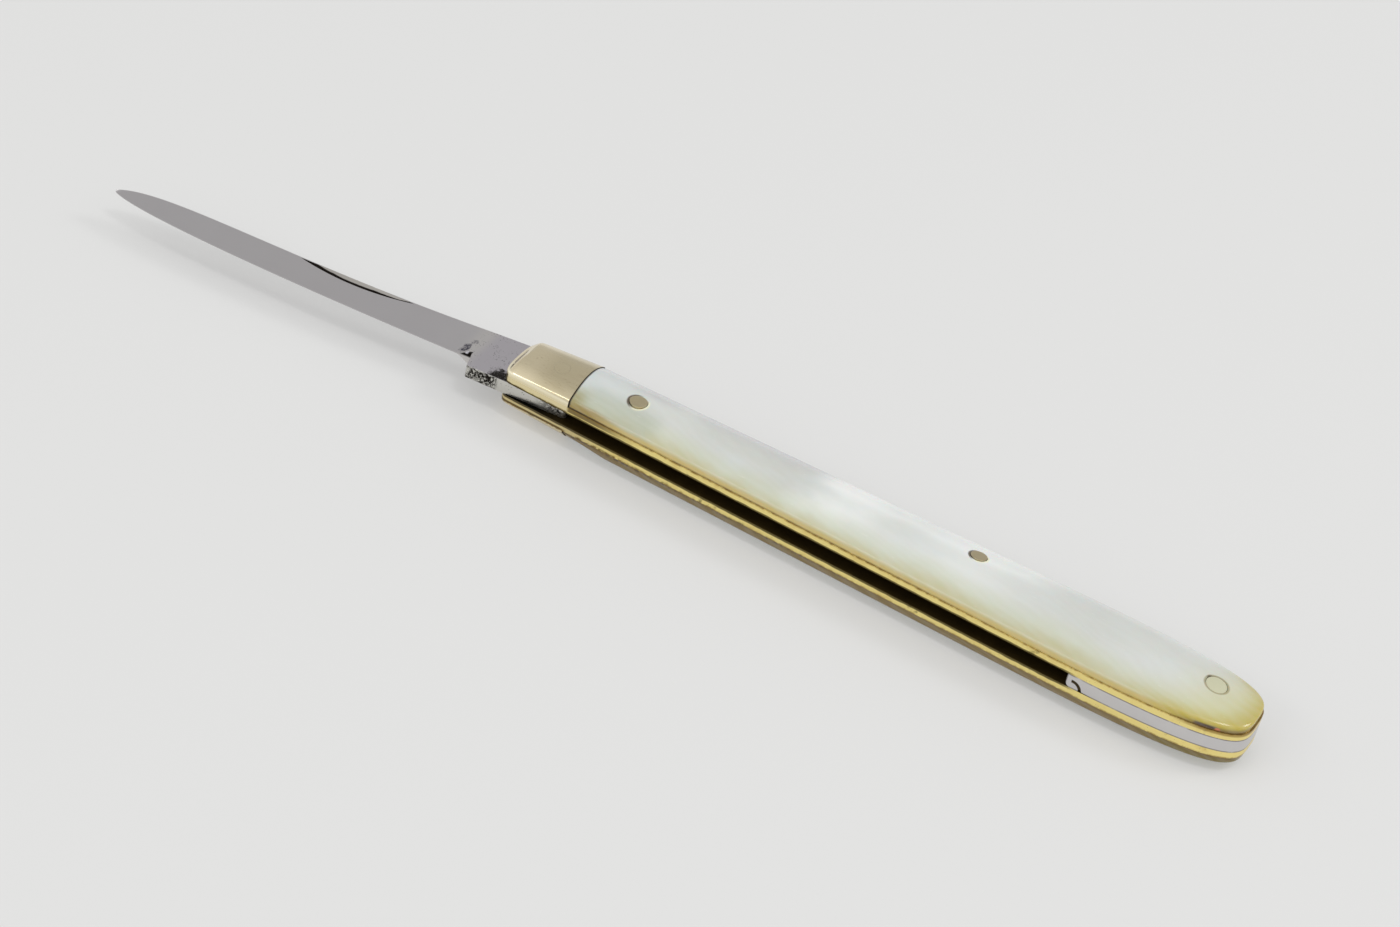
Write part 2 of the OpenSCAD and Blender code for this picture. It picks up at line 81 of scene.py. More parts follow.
# Scales and bolsters
SCALE_WALL = 0.6
SCALE_EDGE_R = 0.4
EDGE_END_ANGLE = math.radians(60)
FLAT_SHARE = 0.14
BOLSTER_LEN = 8.05
BOLSTER_FALL = 0.3
BOLSTER_LEAN = 0.4
FRONT_BEVEL = 0.45
PILE_WEAR = 0.65
PILE_WEAR_END = 13
WEAR_FROM = 0.4
SCALE_SIDE_GAP = 0.1
SCALE_END_GAP = 0.15
SCALE_END_RUN = 12.5
SCALE_JOINT_GAP = 0.04
RIM_BEVEL = 0.045

# Blade
BLADE_LEN = 47.6
RICASSO_LEN = 4.4
TIP_DROP = 3.1
HEEL_SPINE = 2.95
HEEL_EDGE = 1.8
TIP_T = 0.44
EDGE_T = 0.07
HOLLOW = 0.05
PLUNGE_LEN = 1.7
NICK_AT = 12.9
NICK_LEN = 14
NICK_H = 0.9
NICK_DEPTH = 0.28
NICK_INSET = 0.12

# Slip joint
PIVOT = (5.3, -0.82)
TANG_R = 2.3
TANG_CORNER_R = 0.5
KICK_REACH = 9.2
CLOSED_ANGLE = 175
SPRING_GAP = 0.03
SPRING_ARM = 2.4
SPRING_PIN_WALL = 0.9
TAIL_LEN = 18.25
NOSE_X = HANDLE_LEN - TAIL_LEN

# Pins
PIVOT_D = 1.7
PIVOT_PLAY = 0.03
PIN_D = 1.4
HEAD_SEAT = 0.4
SCALE_PIN = (14.1, -0.52)
MIDDLE_PIN = (52.1, 1.6)
BUTT_PIN = (HANDLE_LEN - 5.15, 0.43)
HEAD_D = {SCALE_PIN: 1.9, MIDDLE_PIN: 1.75, BUTT_PIN: 2.2}
HEAD_PLAY = 0.05
HOLE_PLAY = 0.02

MID_X = (HANDLE_LEN - BLADE_LEN) / 2

# The photograph is 1400 by 927 pixels, and its focal length is 4000 of them
PHOTO_WIDTH = 1400
FOCAL_PIXELS = 4000
SENSOR_MM = 36

# Brightness of the room
ROOM_PALE = 0.92
ROOM_DARK = 0.56


def new_object(name, data):
    made = bpy.data.objects.new(name, data)
    bpy.context.scene.collection.objects.link(made)
    return made


def make_camera():
    """The photograph's camera: where it stands, and how it is turned and rolled."""
    data = bpy.data.cameras.new("camera")
    data.sensor_width = SENSOR_MM
    data.lens = FOCAL_PIXELS / PHOTO_WIDTH * SENSOR_MM
    data.clip_start = 0.01
    data.clip_end = 20
    camera = new_object("camera", data)
    right = Vector((0.8637, 0.4624, 0.20053))
    forward = Vector((-0.26587, 0.75601, -0.59813))
    right.normalize()
    up = right.cross(forward).normalized()
    turn = Matrix((right, up, right.cross(up).normalized())).transposed()
    camera.matrix_world = Matrix.Translation((0.11128, -0.305834, 0.245224)) @ turn.to_4x4()
    bpy.context.scene.camera = camera


def linear(rgb):
    """A colour written as 0 to 255 on the screen, as the linear values that a shader takes."""
    channels = [c / 255 for c in rgb]
    return [c / 12.92 if c <= 0.04045 else ((c + 0.055) / 1.055) ** 2.4 for c in channels] + [1]


class Nodes:
    """A tree of shader nodes. Its helpers add a node each and return what the node puts out."""

    def __init__(self, tree):
        self.tree = tree

    def node(self, kind, settings=None, **inputs):
        made = self.tree.nodes.new(kind)
        for key, value in (settings or {}).items():
            setattr(made, key, value)
        for key, value in inputs.items():
            self.put(made.inputs[key.replace("_", " ")], value)
        return made

    def put(self, socket, value):
        if isinstance(value, bpy.types.NodeSocket):
            self.tree.links.new(value, socket)
        else:
            socket.default_value = value

    def math(self, operation, a, b=0.0, c=0.0, clamp=False):
        made = self.node("ShaderNodeMath", {"operation": operation, "use_clamp": clamp})
        for socket, value in zip(made.inputs, (a, b, c)):
            self.put(socket, value)
        return made.outputs[0]

    def vector(self, operation, a, b=(0, 0, 0), scale=1.0):
        made = self.node("ShaderNodeVectorMath", {"operation": operation})
        self.put(made.inputs[0], a)
        self.put(made.inputs[1], b)
        if operation == "SCALE":
            self.put(made.inputs["Scale"], scale)
        number = operation in ("LENGTH", "DISTANCE", "DOT_PRODUCT")
        return made.outputs["Value" if number else "Vector"]

    def rise(self, value, low, high, top=1.0):
        """0 up to low and top from high on, with a smooth change between them."""
        made = self.node("ShaderNodeMapRange", {"interpolation_type": "SMOOTHSTEP"})
        self.put(made.inputs["Value"], value)
        made.inputs["From Min"].default_value = low
        made.inputs["From Max"].default_value = high
        made.inputs["To Max"].default_value = top
        return made.outputs["Result"]

    def chain(self, operation, values):
        result = values[0]
        for value in values[1:]:
            result = self.math(operation, result, value)
        return result

    def product(self, *values):
        return self.chain("MULTIPLY", values)

    def total(self, *values):
        return self.chain("ADD", values)

    def highest(self, *values):
        return self.chain("MAXIMUM", values)

    def minus(self, a, b):
        return self.math("SUBTRACT", a, b)

    def scaled(self, value, factor, added):
        return self.math("MULTIPLY_ADD", value, factor, added)


class Shader(Nodes):
    """One procedural material, which knows where on the knife it is."""

    def __init__(self, name):
        self.material = bpy.data.materials.new(name)
        self.material.use_nodes = True
        super().__init__(self.material.node_tree)
        self.surface = self.tree.nodes["Principled BSDF"]
        place = self.node("ShaderNodeTexCoord").outputs["Object"]
        self.place = self.vector("SCALE", place, scale=1 / MM)
        parts = self.node("ShaderNodeSeparateXYZ", Vector=self.place).outputs
        self.x = self.total(parts["X"], MID_X)
        self.y = parts["Y"]
        self.z = parts["Z"]

    def stretched(self, sx, sy, sz):
        return self.vector("MULTIPLY", self.place, (sx, sy, sz))

    def noise(self, scale, detail=3.0, rough=0.5, stretch=(1, 1, 1), distortion=0.0):
        made = self.node("ShaderNodeTexNoise", Vector=self.stretched(*stretch), Scale=scale,
                         Detail=detail, Roughness=rough, Distortion=distortion)
        return made.outputs["Fac"]

    def specks(self, scale, size, stretch=(1, 1, 1)):
        """Scattered small round spots, which are 1 in the middle and 0 from size on."""
        made = self.node("ShaderNodeTexVoronoi", Vector=self.stretched(*stretch), Scale=scale)
        return self.rise(made.outputs["Distance"], size, size * 0.4)

    def blotches(self, scale, low):
        """Fine ragged blots that a coarser noise gathers in clusters, 1 inside and 0 between them."""
        cluster = self.rise(self.noise(1.1, 3), low - 0.1, low + 0.04)
        return self.product(cluster, self.rise(self.noise(scale, 5, 0.8), 0.43, 0.52))

    def spot(self, centre, radius, ragged=0.0, scale=3.0):
        """Round patch at a point, 1 inside and 0 outside, with an edge that noise makes ragged."""
        away = self.vector("DISTANCE", self.place, (centre[0] - MID_X, centre[1], centre[2]))
        if ragged:
            away = self.scaled(self.minus(self.noise(scale, 4), 0.5), ragged, away)
        return self.rise(away, radius, radius * 0.55)

    def mix(self, share, a, b, blend="MIX"):
        """Mixes two colours, which are sockets or written as 0 to 255."""
        made = self.node("ShaderNodeMix", {"data_type": "RGBA", "blend_type": blend})
        self.put(made.inputs[0], share)
        for socket, colour in zip(made.inputs[6:8], (a, b)):
            self.put(socket, colour if isinstance(colour, bpy.types.NodeSocket) else linear(colour))
        return made.outputs[2]

    def base(self, share, a, b):
        """Starts the surface's colour as a mix of two."""
        self.colour = self.mix(share, a, b)

    def paint(self, colour, *shares):
        """Lays a colour over the one so far, by the product of the shares."""
        self.colour = self.mix(self.product(*shares), self.colour, colour)

    def ramp(self, value, *stops):
        """Grey ramp through pairs of place and brightness."""
        made = self.node("ShaderNodeValToRGB", Fac=value)
        made.color_ramp.interpolation = "EASE"
        points = made.color_ramp.elements
        for i, (at, level) in enumerate(stops):
            point = points[i] if i < 2 else points.new(at)
            point.position = at
            point.color = (level, level, level, 1)
        return made.outputs["Color"]

    def edges(self, radius):
        """1 on the edges of the shape and 0 elsewhere."""
        rounded = self.node("ShaderNodeBevel", {"samples": 4}, Radius=radius * MM).outputs[0]
        plain = self.node("ShaderNodeNewGeometry").outputs["Normal"]
        return self.rise(self.vector("DOT_PRODUCT", rounded, plain), 0.995, 0.9)

    def finish(self, roughness, height, depth, metallic=1.0, **fixed):
        """Connects the surface: depth is how deep the relief in height is, in millimetres."""
        bump = self.node("ShaderNodeBump", Height=height, Distance=depth * MM, Strength=1.0)
        self.put(self.surface.inputs["Base Color"], self.colour)
        self.put(self.surface.inputs["Roughness"], roughness)
        self.put(self.surface.inputs["Normal"], bump.outputs["Normal"])
        self.surface.inputs["Metallic"].default_value = metallic
        for key, value in fixed.items():
            self.surface.inputs[key.replace("_", " ")].default_value = value
        return self.material


STEEL = (201, 198, 199)
STEEL_DARK = (34, 30, 26)
BLUE_RUST = (76, 74, 88)
TAIL_STEEL = (214, 212, 211)
SEAM_STEEL = (98, 88, 94)
NICKEL_SILVER = (221, 209, 176)
NICKEL_BROWN = (120, 98, 62)
BRASS = (248, 229, 150)
BRASS_STAIN = (150, 116, 56)
PALE_WALL_SHEEN = (253, 244, 214)
BRASS_DARK = (34, 27, 12)
GRIME = (44, 33, 20)
PIN_METAL = (205, 192, 158)


def blade_steel():
    s = Shader("blade_steel")
    lines = s.noise(3.0, 2, 0.6, (9, 0.35, 0.35))
    cloud = s.noise(0.25, 3)
    grain = s.noise(2.1, 5, 0.75)
    s.base(s.product(cloud, 0.35), STEEL, (187, 183, 184))
    # The flat ricasso is a little more violet, with a paler band where the grind starts
    top = s.rise(s.z, 4.33, 4.37)
    s.paint((197, 190, 201), top, s.rise(s.x, -5.2, -3.2, 0.35))
    s.paint((226, 222, 214), s.rise(s.x, -6.6, -4.9), s.rise(s.x, -3.2, -4.6), 0.35)
    pits = s.product(s.specks(4.5, 0.3), s.rise(s.noise(0.9, 2), 0.45, 0.6), s.rise(s.x, -5.6, -4.4), 0.8)
    # Bluish rust above the kick and in small smears along the edge
    smear = 0.0
    for at, size, share in (((-5.8, -1.75, 4.15), 0.55, 0.8), ((-5.7, -1.1, 4.2), 0.75, 0.95),
                            ((-5.65, -0.4, 4.25), 0.65, 0.85), ((-5.3, 0.3, 4.3), 0.6, 0.5)):
        rusted = s.rise(s.noise(2.2, 4, 0.7, (1.6, 0.6, 1)), 0.38, 0.52)
        smear = s.highest(smear, s.product(s.spot(at, size, 0.9, 2.6), rusted, share))
    for at, size in (((-36.6, -0.35, 4.1), 0.22), ((-35.9, -1.0, 4.05), 0.14), ((-9.3, -0.85, 4.2), 0.3),
                     ((-7.7, -0.6, 4.25), 0.3)):
        smear = s.highest(smear, s.product(s.spot(at, size, size * 2, 7), s.rise(grain, 0.44, 0.56), 0.7))
    s.paint(BLUE_RUST, smear)
    # Black rust on the narrow underside of the kick and tang, and where the blade meets the bolster
    wall = s.product(s.rise(s.z, 4.36, 4.31), s.rise(s.y, -1, -1.8), s.rise(s.x, -4.7, -4.4))
    s.paint((206, 204, 197), wall)
    coat = s.product(wall, s.rise(s.x, 0.0, -0.6), s.rise(s.x, -4.0, -3.8), s.blotches(3.6, 0.42))
    inner = s.product(wall, s.rise(s.x, 3.6, 6.6), s.blotches(3, 0.46))
    sparse = s.product(wall, s.specks(2.6, 0.16), 0.8)
    kick_face = s.product(s.rise(s.z, 4.36, 4.31), s.rise(s.x, -3.75, -3.92), s.rise(s.x, -4.9, -4.75),
                          s.rise(s.y, -2.4, -2.8), 0.75)
    holes = s.minus(1, s.product(s.specks(6, 0.3), 0.5))
    corner = s.product(s.spot((-0.35, -3.1, 4.37), 1.3, 1.8, 2.4), s.rise(s.z, 4.33, 4.37), holes, 0.97)
    # The notch at the heel is painted black as a painted dark reflection, gathered here with the rust
    low_line = s.minus(s.scaled(s.x, 0.28, -0.3), s.y)
    notch = s.product(s.rise(low_line, -0.02, 0.1), s.rise(s.x, -7.8, -6.9), s.rise(s.x, -4.3, -4.41),
                      s.rise(s.z, 3.6, 3.85))
    rust_and_painted_notch = s.highest(0.0, pits, coat, inner, sparse, kick_face, corner, notch)
    s.paint(STEEL_DARK, rust_and_painted_notch)
    # Painted highlight: a small pale glint just above the notch
    s.paint((226, 224, 230), s.spot((-5.0, -1.75, 4.25), 0.3))
    s.paint((225, 222, 220), s.edges(0.05), 0.25)
    decay = s.highest(rust_and_painted_notch, smear)
    rough = s.scaled(decay, 0.4, s.scaled(lines, 0.1, 0.27))
    return s.finish(rough, s.minus(s.product(lines, 0.12), decay), 0.006)


def nick_steel():
    """Floor of the nail nick, pale with fine arcs of grinding, and a black line along its deep side: grime
    and painted shade.
    """
    s = Shader("nick_steel")
    arcs = s.noise(4.0, 3, 0.6, (0.6, 6, 6))
    place, wheel_r = nick_wheel()
    middle = place.translation - Vector((MID_X, 0, 0))
    axle = place.to_3x3() @ Vector((0, 0, 1))
    out = s.vector("SUBTRACT", s.place, middle)
    away = s.vector("LENGTH", s.vector("CROSS_PRODUCT", out, axle))
    wobble = s.product(s.noise(0.8, 3), 0.12)
    # The black line thins out towards the bolster
    thin_end = s.rise(s.x, -18, -14.5, 0.26)
    black = s.rise(s.total(s.minus(wheel_r, away), wobble, thin_end), 0.5, 0.42)
    s.base(s.product(arcs, 0.5), (194, 190, 184), (162, 158, 153))
    # Painted shade and grime in the deep part of the nick
    s.paint(STEEL_DARK, black)
    return s.finish(s.scaled(arcs, 0.15, s.scaled(black, 0.3, 0.36)), arcs, 0.004)


def spring_steel(dark):
    s = Shader("well_steel_painted_shade" if dark else "spring_steel")
    lines = s.noise(2.0, 3, 0.6, (0.5, 8, 8))
    cloud = s.noise(0.7, 4, 0.6)
    # Faces inside the well are painted dark brown as shade
    if dark:
        s.base(cloud, (56, 48, 34), (110, 96, 72))
        return s.finish(s.scaled(lines, 0.2, 0.6), lines, 0.01)
    s.base(s.product(cloud, 0.5), TAIL_STEEL, (196, 192, 196))
    from_middle = s.math("ABSOLUTE", s.minus(s.z, MID_Z))
    seam = s.product(s.rise(from_middle, WELL_W / 2 - 0.17, WELL_W / 2 - 0.03), s.rise(cloud, 0.25, 0.5))
    s.paint(SEAM_STEEL, seam, 0.85)
    pits = s.product(s.specks(3.5, 0.12), s.rise(s.noise(0.6, 2), 0.5, 0.65))
    s.paint(STEEL_DARK, pits, 0.6)
    s.paint((230, 228, 226), s.edges(0.05), 0.2)
    return s.finish(s.scaled(lines, 0.12, 0.25), s.minus(s.product(lines, 0.3), pits), 0.005)


def liner_brass(name, dark, pile):
    """Brass of one liner, painted dark as shade inside the well, and bright along its outer edge."""
    s = Shader(name)
    lines = s.noise(2.0, 3, 0.6, (0.4, 7, 7))
    cloud = s.noise(0.5, 5, 0.65)
    grain = s.noise(1.5, 4, 0.7)
    # Inside the well the brass is painted dark as shade over dull brass, and black as shade at the mouth
    # under the bolster
    if dark:
        s.base(cloud, (62, 50, 27), (98, 80, 44))
        s.paint((12, 10, 6), s.rise(s.x, 9, 4))
        return s.finish(s.scaled(lines, 0.2, 0.55), lines, 0.01)
    s.base(s.rise(cloud, 0.45, 0.8, 0.6), BRASS, (222, 190, 112))
    scale_face = SCALE_T if pile else SCALE_Z
    well_face = WELL_Z + (0 if pile else WELL_W)
    from_scale = s.math("ABSOLUTE", s.minus(s.z, scale_face))
    from_well = s.math("ABSOLUTE", s.minus(s.z, well_face))
    behind = s.rise(s.x, BOLSTER_LEN - 0.2, BOLSTER_LEN + 0.2)
    seam = s.product(s.rise(from_scale, 0.2, 0.04), s.rise(grain, 0.3, 0.65), 0.8)
    if pile:
        # Browner towards the bolster, with a dark line along the seam
        s.paint((206, 190, 146), s.rise(s.x, 15, 8, 0.8))
        line = s.product(s.rise(from_well, 0.46, 0.54), s.rise(s.x, 8.6, 7.6), 0.85)
        dirt = s.product(s.rise(from_scale, 0.3, 0.08), s.rise(grain, 0.42, 0.56), s.rise(s.x, 26, 12),
                         0.85)
        s.paint(GRIME, s.highest(line, dirt))
    else:
        # Under the bolster the brass is painted as pale as the bolster itself, down to its lower edge:
        # partly polish, partly a painted highlight
        under = s.minus(1, behind)
        s.paint((234, 220, 178), under, s.rise(from_well, 0.08, 0.3), 0.9)
        foot_stain = s.product(under, s.rise(from_well, 0.34, 0.18), s.rise(grain, 0.4, 0.55), 0.75)
        # Behind the bolster it is dull and brown down to a thin bright edge
        dull = s.product(behind, s.rise(s.x, 17, 11), s.rise(from_well, 0.18, 0.32), 0.9)
        s.paint((120, 101, 68), s.highest(foot_stain, dull))
        # Browner along the seam with the scale round the butt
        s.paint(BRASS_STAIN, s.rise(s.x, 76, 80), s.rise(from_scale, 0.42, 0.2), 0.7)
        seam = s.product(seam, behind)
    s.paint(BRASS_STAIN, seam)
    # The inner edge is rounded by use, and painted black as a painted reflection of the dark well
    reach = s.scaled(s.rise(s.noise(0.7, 3), 0.3, 0.7), 0.06, 0.2 if pile else 0.14)
    foot = s.rise(s.minus(from_well, reach), 0.04, -0.04, 0.85)
    foot = s.product(foot, s.rise(s.x, NOSE_X + 1.5, NOSE_X - 0.5))
    s.paint(GRIME, foot)
    stains = s.product(s.rise(s.noise(0.22, 5, 0.7), 0.56, 0.68), s.rise(grain, 0.45, 0.6), behind)
    s.paint(BRASS_DARK, stains, 0.75)
    pits = s.product(s.specks(4, 0.16), s.rise(s.noise(0.8, 2), 0.5, 0.62), behind)
    s.paint(BRASS_DARK, pits, 0.7)
    s.paint(BRASS_STAIN, s.edges(0.05), 0.3)
    rough = s.scaled(stains, 0.3, s.scaled(lines, 0.12, 0.24))
    return s.finish(rough, s.minus(s.product(lines, 0.3), s.total(pits, stains)), 0.006)


def nickel_silver(name, pile):
    """Metal of one bolster, which the ends of the pivot pin share."""
    s = Shader(name)
    over = s.minus(SCALE_T, s.z) if pile else s.minus(s.z, SCALE_Z)
    lines = s.noise(2.5, 3, 0.6, (0.5, 6, 6))
    cloud = s.noise(0.35, 3, 0.5)
    s.base(s.product(cloud, 0.5), NICKEL_SILVER, (212, 196, 160))
    shade = s.rise(s.noise(0.8, 3, 0.55, (0.25, 1.3, 1)), 0.5, 0.75, 0.3)
    s.paint((184, 168, 130), shade)
    # Painted highlight: the front of the bolster is paler
    s.paint((246, 232, 200), s.rise(s.x, 5, 2.5, 0.5))
    scratch = s.product(s.rise(s.noise(5, 2, 0.5, (0.5, 3, 3)), 0.66, 0.72), s.rise(cloud, 0.45, 0.6), 0.4)
    s.paint(NICKEL_BROWN, scratch)
    nicks = s.product(s.specks(2.3, 0.1), s.rise(s.noise(0.9, 2), 0.5, 0.6), 0.7)
    s.paint(NICKEL_BROWN, nicks)
    # Painted highlight along the edges towards the front
    s.paint((240, 234, 214), s.edges(0.12), s.rise(s.x, 6, 3), 0.3)
    if not pile:
        # The near wall is painted pale cream, palest towards its top: a painted reflection of the bright
        # floor and lamp
        wall = s.product(s.rise(over, 0.75, 0.5), s.rise(s.y, -1, -2.5))
        s.paint(s.mix(s.rise(over, 0.5, 0.1), PALE_WALL_SHEEN, (238, 225, 188)), wall)
    # Grime in the joint with the scale and in the pile side's lower seam, and a dark line behind the front
    # bevel, painted as grime and as a dark reflection
    joint = s.rise(s.x, BOLSTER_LEN - 0.1, BOLSTER_LEN - 0.02)
    crease = s.product(s.rise(s.math("ABSOLUTE", s.total(s.x, -0.53)), 0.19, 0.1), s.rise(over, 0.5, 0.7),
                       s.rise(s.y, 1.3, 0.3), s.rise(s.noise(0.9, 3), 0.36, 0.44), 0.95)
    grime_and_dark_reflection = s.highest(joint, crease)
    if pile:
        foot = s.product(s.rise(over, 0.12, 0.02), s.rise(s.noise(1.6, 4, 0.7), 0.4, 0.6), 0.85)
        grime_and_dark_reflection = s.highest(grime_and_dark_reflection, foot)
    s.paint(GRIME, grime_and_dark_reflection)
    rough = s.scaled(grime_and_dark_reflection, 0.4, s.scaled(lines, 0.08, 0.16))
    return s.finish(rough, s.minus(s.product(lines, 0.15), s.total(scratch, nicks)), 0.003)


def pearl(name, pile):
    """Mother-of-pearl of one scale."""
    s = Shader(name)
    over = s.minus(SCALE_T, s.z) if pile else s.minus(s.z, SCALE_Z)
    slope = (BUTT_W - FRONT_W) / 2 / HANDLE_LEN
    across = s.math("DIVIDE", s.y, s.scaled(s.x, slope, FRONT_W / 2))
    drift = s.minus(s.noise(0.12, 3, 0.5, (1, 1.6, 1)), 0.5)
    along = s.math("DIVIDE", s.scaled(across, -2.2, s.scaled(drift, 9, s.x)), HANDLE_LEN)
    glow = s.ramp(along, (0.1, 0.3), (0.2, 0.36), (0.28, 0.16), (0.39, 0.16), (0.455, 0.9), (0.53, 0.5),
                  (0.62, 0.68), (0.73, 0.26), (0.88, 0.38), (1, 0.15))
    clouds = s.noise(0.16, 5, 0.55, (0.7, 1.3, 1), 0.6)
    # Painted sheen: the far side is painted lighter all along, most in the middle of the handle
    far_sheen = s.product(s.rise(across, 0.05, 0.5, 0.55), s.rise(s.x, 33.5, 37), s.rise(s.x, 64, 54))
    glow = s.total(s.scaled(s.minus(clouds, 0.5), 0.35, glow), far_sheen)
    glow = s.math("ADD", glow, s.rise(across, 0.1, 0.8, 0.1), clamp=True)
    s.base(glow, (201, 203, 196), (238, 241, 237))
    cool = s.rise(s.noise(0.11, 4, 0.5, (1, 1.5, 1)), 0.48, 0.68, 0.4)
    s.paint((212, 219, 220), s.highest(cool, s.rise(s.x, 16, 9, 0.6)))
    s.paint((204, 201, 206), s.rise(across, 0.1, 0.8), s.rise(s.x, 17, 22), s.rise(s.x, 37, 30), 0.45)
    s.paint((190, 188, 191), s.rise(across, 0.15, 0.5), s.rise(s.x, 11.5, 14), s.rise(s.x, 19, 16), 0.4)
    # Yellow towards the belly, in a patch near the bolster and over the whole of the butt
    belly = s.scaled(drift, 0.5, across)
    s.paint((202, 206, 178), s.rise(belly, -0.3, -0.8, 0.6))
    s.paint((190, 184, 138), s.rise(belly, -0.68, -0.98, 0.75))
    s.paint((176, 182, 164), s.spot((13, -2.4, 6.2), 5.6, 2.2, 0.4), s.rise(across, 0, -0.55), 0.6)
    s.paint((150, 126, 52), s.rise(s.x, 15, 10.5), s.rise(across, -0.87, -0.99), 0.85)
    s.paint((152, 143, 88), s.rise(s.x, 10.3, 8.5), s.rise(across, -0.45, -0.8), 0.7)
    # The far rim is painted a darker lavender grey: the pearl's tint, and a painted darker reflection
    s.paint((180, 181, 187), s.rise(across, 0.55, 0.98), s.rise(s.x, 44, 30), 0.7)
    # Painted sheen: the far side is painted whitest before the middle pin
    far_white_sheen = s.total(s.product(s.rise(s.x, 32.5, 37), s.rise(s.x, 44.5, 39)),
                    s.product(s.rise(s.x, 45, 49, 0.6), s.rise(s.x, 56, 52)))
    s.paint((255, 255, 252), far_white_sheen, s.rise(across, 0, 0.4, 0.75))
    near_butt = s.scaled(across, -3.2, s.x)
    s.paint((206, 201, 132), s.rise(near_butt, 73, 85, 0.75))
    s.paint((174, 158, 62), s.rise(near_butt, 81.5, 87, 0.7))
    s.paint((184, 172, 96), s.rise(s.x, 69, 74), s.rise(s.x, 79, 76), s.rise(across, -0.55, -0.9, 0.4))
    # Thin amber edge above the liner
    if pile:
        # The belly wall is painted dark olive as shade over its amber, with black pits along the seam
        s.paint((108, 84, 28), s.rise(over, 1.7, 0.9), s.rise(across, -0.3, -0.8), 0.9)
        seam_pits = s.rise(s.noise(2.4, 3, 0.6), 0.46, 0.6)
        s.paint(GRIME, s.rise(over, 0.4, 0.12), seam_pits, s.rise(s.x, 48, 30))
    else:
        amber = s.mix(s.rise(s.x, 14.5, 9.5), (208, 180, 88), (160, 134, 58))
        s.paint(amber, s.rise(over, 0.95, 0.3), s.rise(across, -0.5, -0.9), 0.75)
    # On the pile side the rim round the butt is painted darker, as shade
    round_butt = s.rise(s.scaled(across, -2.5, s.x), 75.5, 80.5)
    s.paint((112, 98, 38) if pile else (186, 167, 50), round_butt, s.rise(over, 1.4, 0.6), 0.9)
    s.paint((112, 90, 34), s.rise(s.x, 76, 80), s.rise(over, 0.75 if pile else 0.6, 0.22), 0.75)
    if not pile:
        # A burnt spot on the rim, with a reddish one beside it
        s.paint((62, 38, 20), s.spot((79.9, -3.95, 5.2), 1.5, 0.5), s.rise(over, 0.55, 0.25))
        s.paint((206, 108, 58), s.spot((81.1, -3.8, 5.2), 0.42))
    growth = s.node("ShaderNodeTexWave", {"bands_direction": "DIAGONAL"},
                    Vector=s.stretched(0.5, 1.1, 2), Scale=0.4, Distortion=14, Detail=4,
                    Detail_Scale=0.5).outputs["Fac"]
    s.paint((236, 238, 240), growth, 0.05)
    # Brown in the seam over the liner, grime at the bolster, an olive ring round the butt pin, and painted
    # shadow and highlight round the other pins
    seam = s.product(s.rise(over, 0.22, 0.06), s.rise(s.noise(0.8, 4, 0.6), 0.2, 0.5))
    weak = s.product(s.rise(s.x, 48, 60), s.rise(s.x, 78, 76), 0.4)
    strength = s.total(s.rise(s.x, 16, 10, 0.3), s.minus(0.65, weak))
    s.paint(s.mix(s.rise(s.x, 14, 10), (104, 78, 38), GRIME), seam, strength)
    joint_x = BOLSTER_LEN + SCALE_JOINT_GAP
    s.paint(GRIME, s.rise(s.x, joint_x + 0.16, joint_x + 0.04, 0.85))
    for at, head in HEAD_D.items():
        offset = s.vector("MULTIPLY", s.vector("SUBTRACT", s.place, (at[0] - MID_X, at[1], 0)), (1, 1, 0))
        parts = s.node("ShaderNodeSeparateXYZ", Vector=offset).outputs
        ring = s.rise(s.vector("LENGTH", offset), head / 2 + 0.34, head / 2 + 0.16)
        shadow_crescent = s.rise(s.scaled(parts["Y"], -0.1, parts["X"]), 0.1, -0.8)
        right = s.rise(s.scaled(parts["Y"], -0.5, parts["X"]), 0.0, 0.8)
        if at == BUTT_PIN:
            # Only an olive ring shows here, with a dark spot on its far left
            s.paint((138, 126, 70), ring, 0.65)
            spot = s.rise(s.vector("DISTANCE", offset, (-0.95, 0.5, 0)), 0.5, 0.15)
            s.paint((84, 76, 52), ring, spot, 0.85)
        else:
            # Painted shadow on the left of the proud head, and a painted highlight on its lower right
            s.paint((84, 66, 40), ring, shadow_crescent, 0.95)
            s.paint((248, 243, 205), ring, right, 0.75)
    # All of it a little darker
    s.colour = s.mix(1.0, s.colour, (250, 250, 250), "MULTIPLY")
    marks = s.rise(s.noise(2.2, 2, 0.5, (0.35, 3, 3)), 0.7, 0.76)
    s.paint((232, 230, 214), s.edges(0.08), s.rise(across, 0.2, -0.2), 0.12)
    rough = s.scaled(marks, 0.15, s.scaled(clouds, 0.1, 0.14))
    relief = s.minus(s.product(growth, 0.15), s.product(marks, 0.3))
    return s.finish(rough, relief, 0.004, metallic=0.0, IOR=1.58, Coat_Weight=0.3,
                    Coat_Roughness=0.05, Subsurface_Weight=0.1, Subsurface_Scale=0.0009)


def pin_metal(name, pale):
    s = Shader(name)
    turned_lines = s.noise(6, 3, 0.6)
    cloud = s.noise(1.5, 3)
    s.base(s.product(cloud, 0.5), PIN_METAL, (188, 172, 132))
    s.paint((242, 242, 208), pale)
    s.paint((240, 232, 204), s.edges(0.08), 0.6)
    nicks = s.product(s.specks(5, 0.13), s.rise(s.noise(1.9, 2), 0.5, 0.6), 0.7)
    s.paint(NICKEL_BROWN, nicks)
    relief = s.minus(s.product(turned_lines, 0.3), nicks)
    return s.finish(s.scaled(turned_lines, 0.15, 0.24), relief, 0.004, metallic=1 - 0.25 * pale)


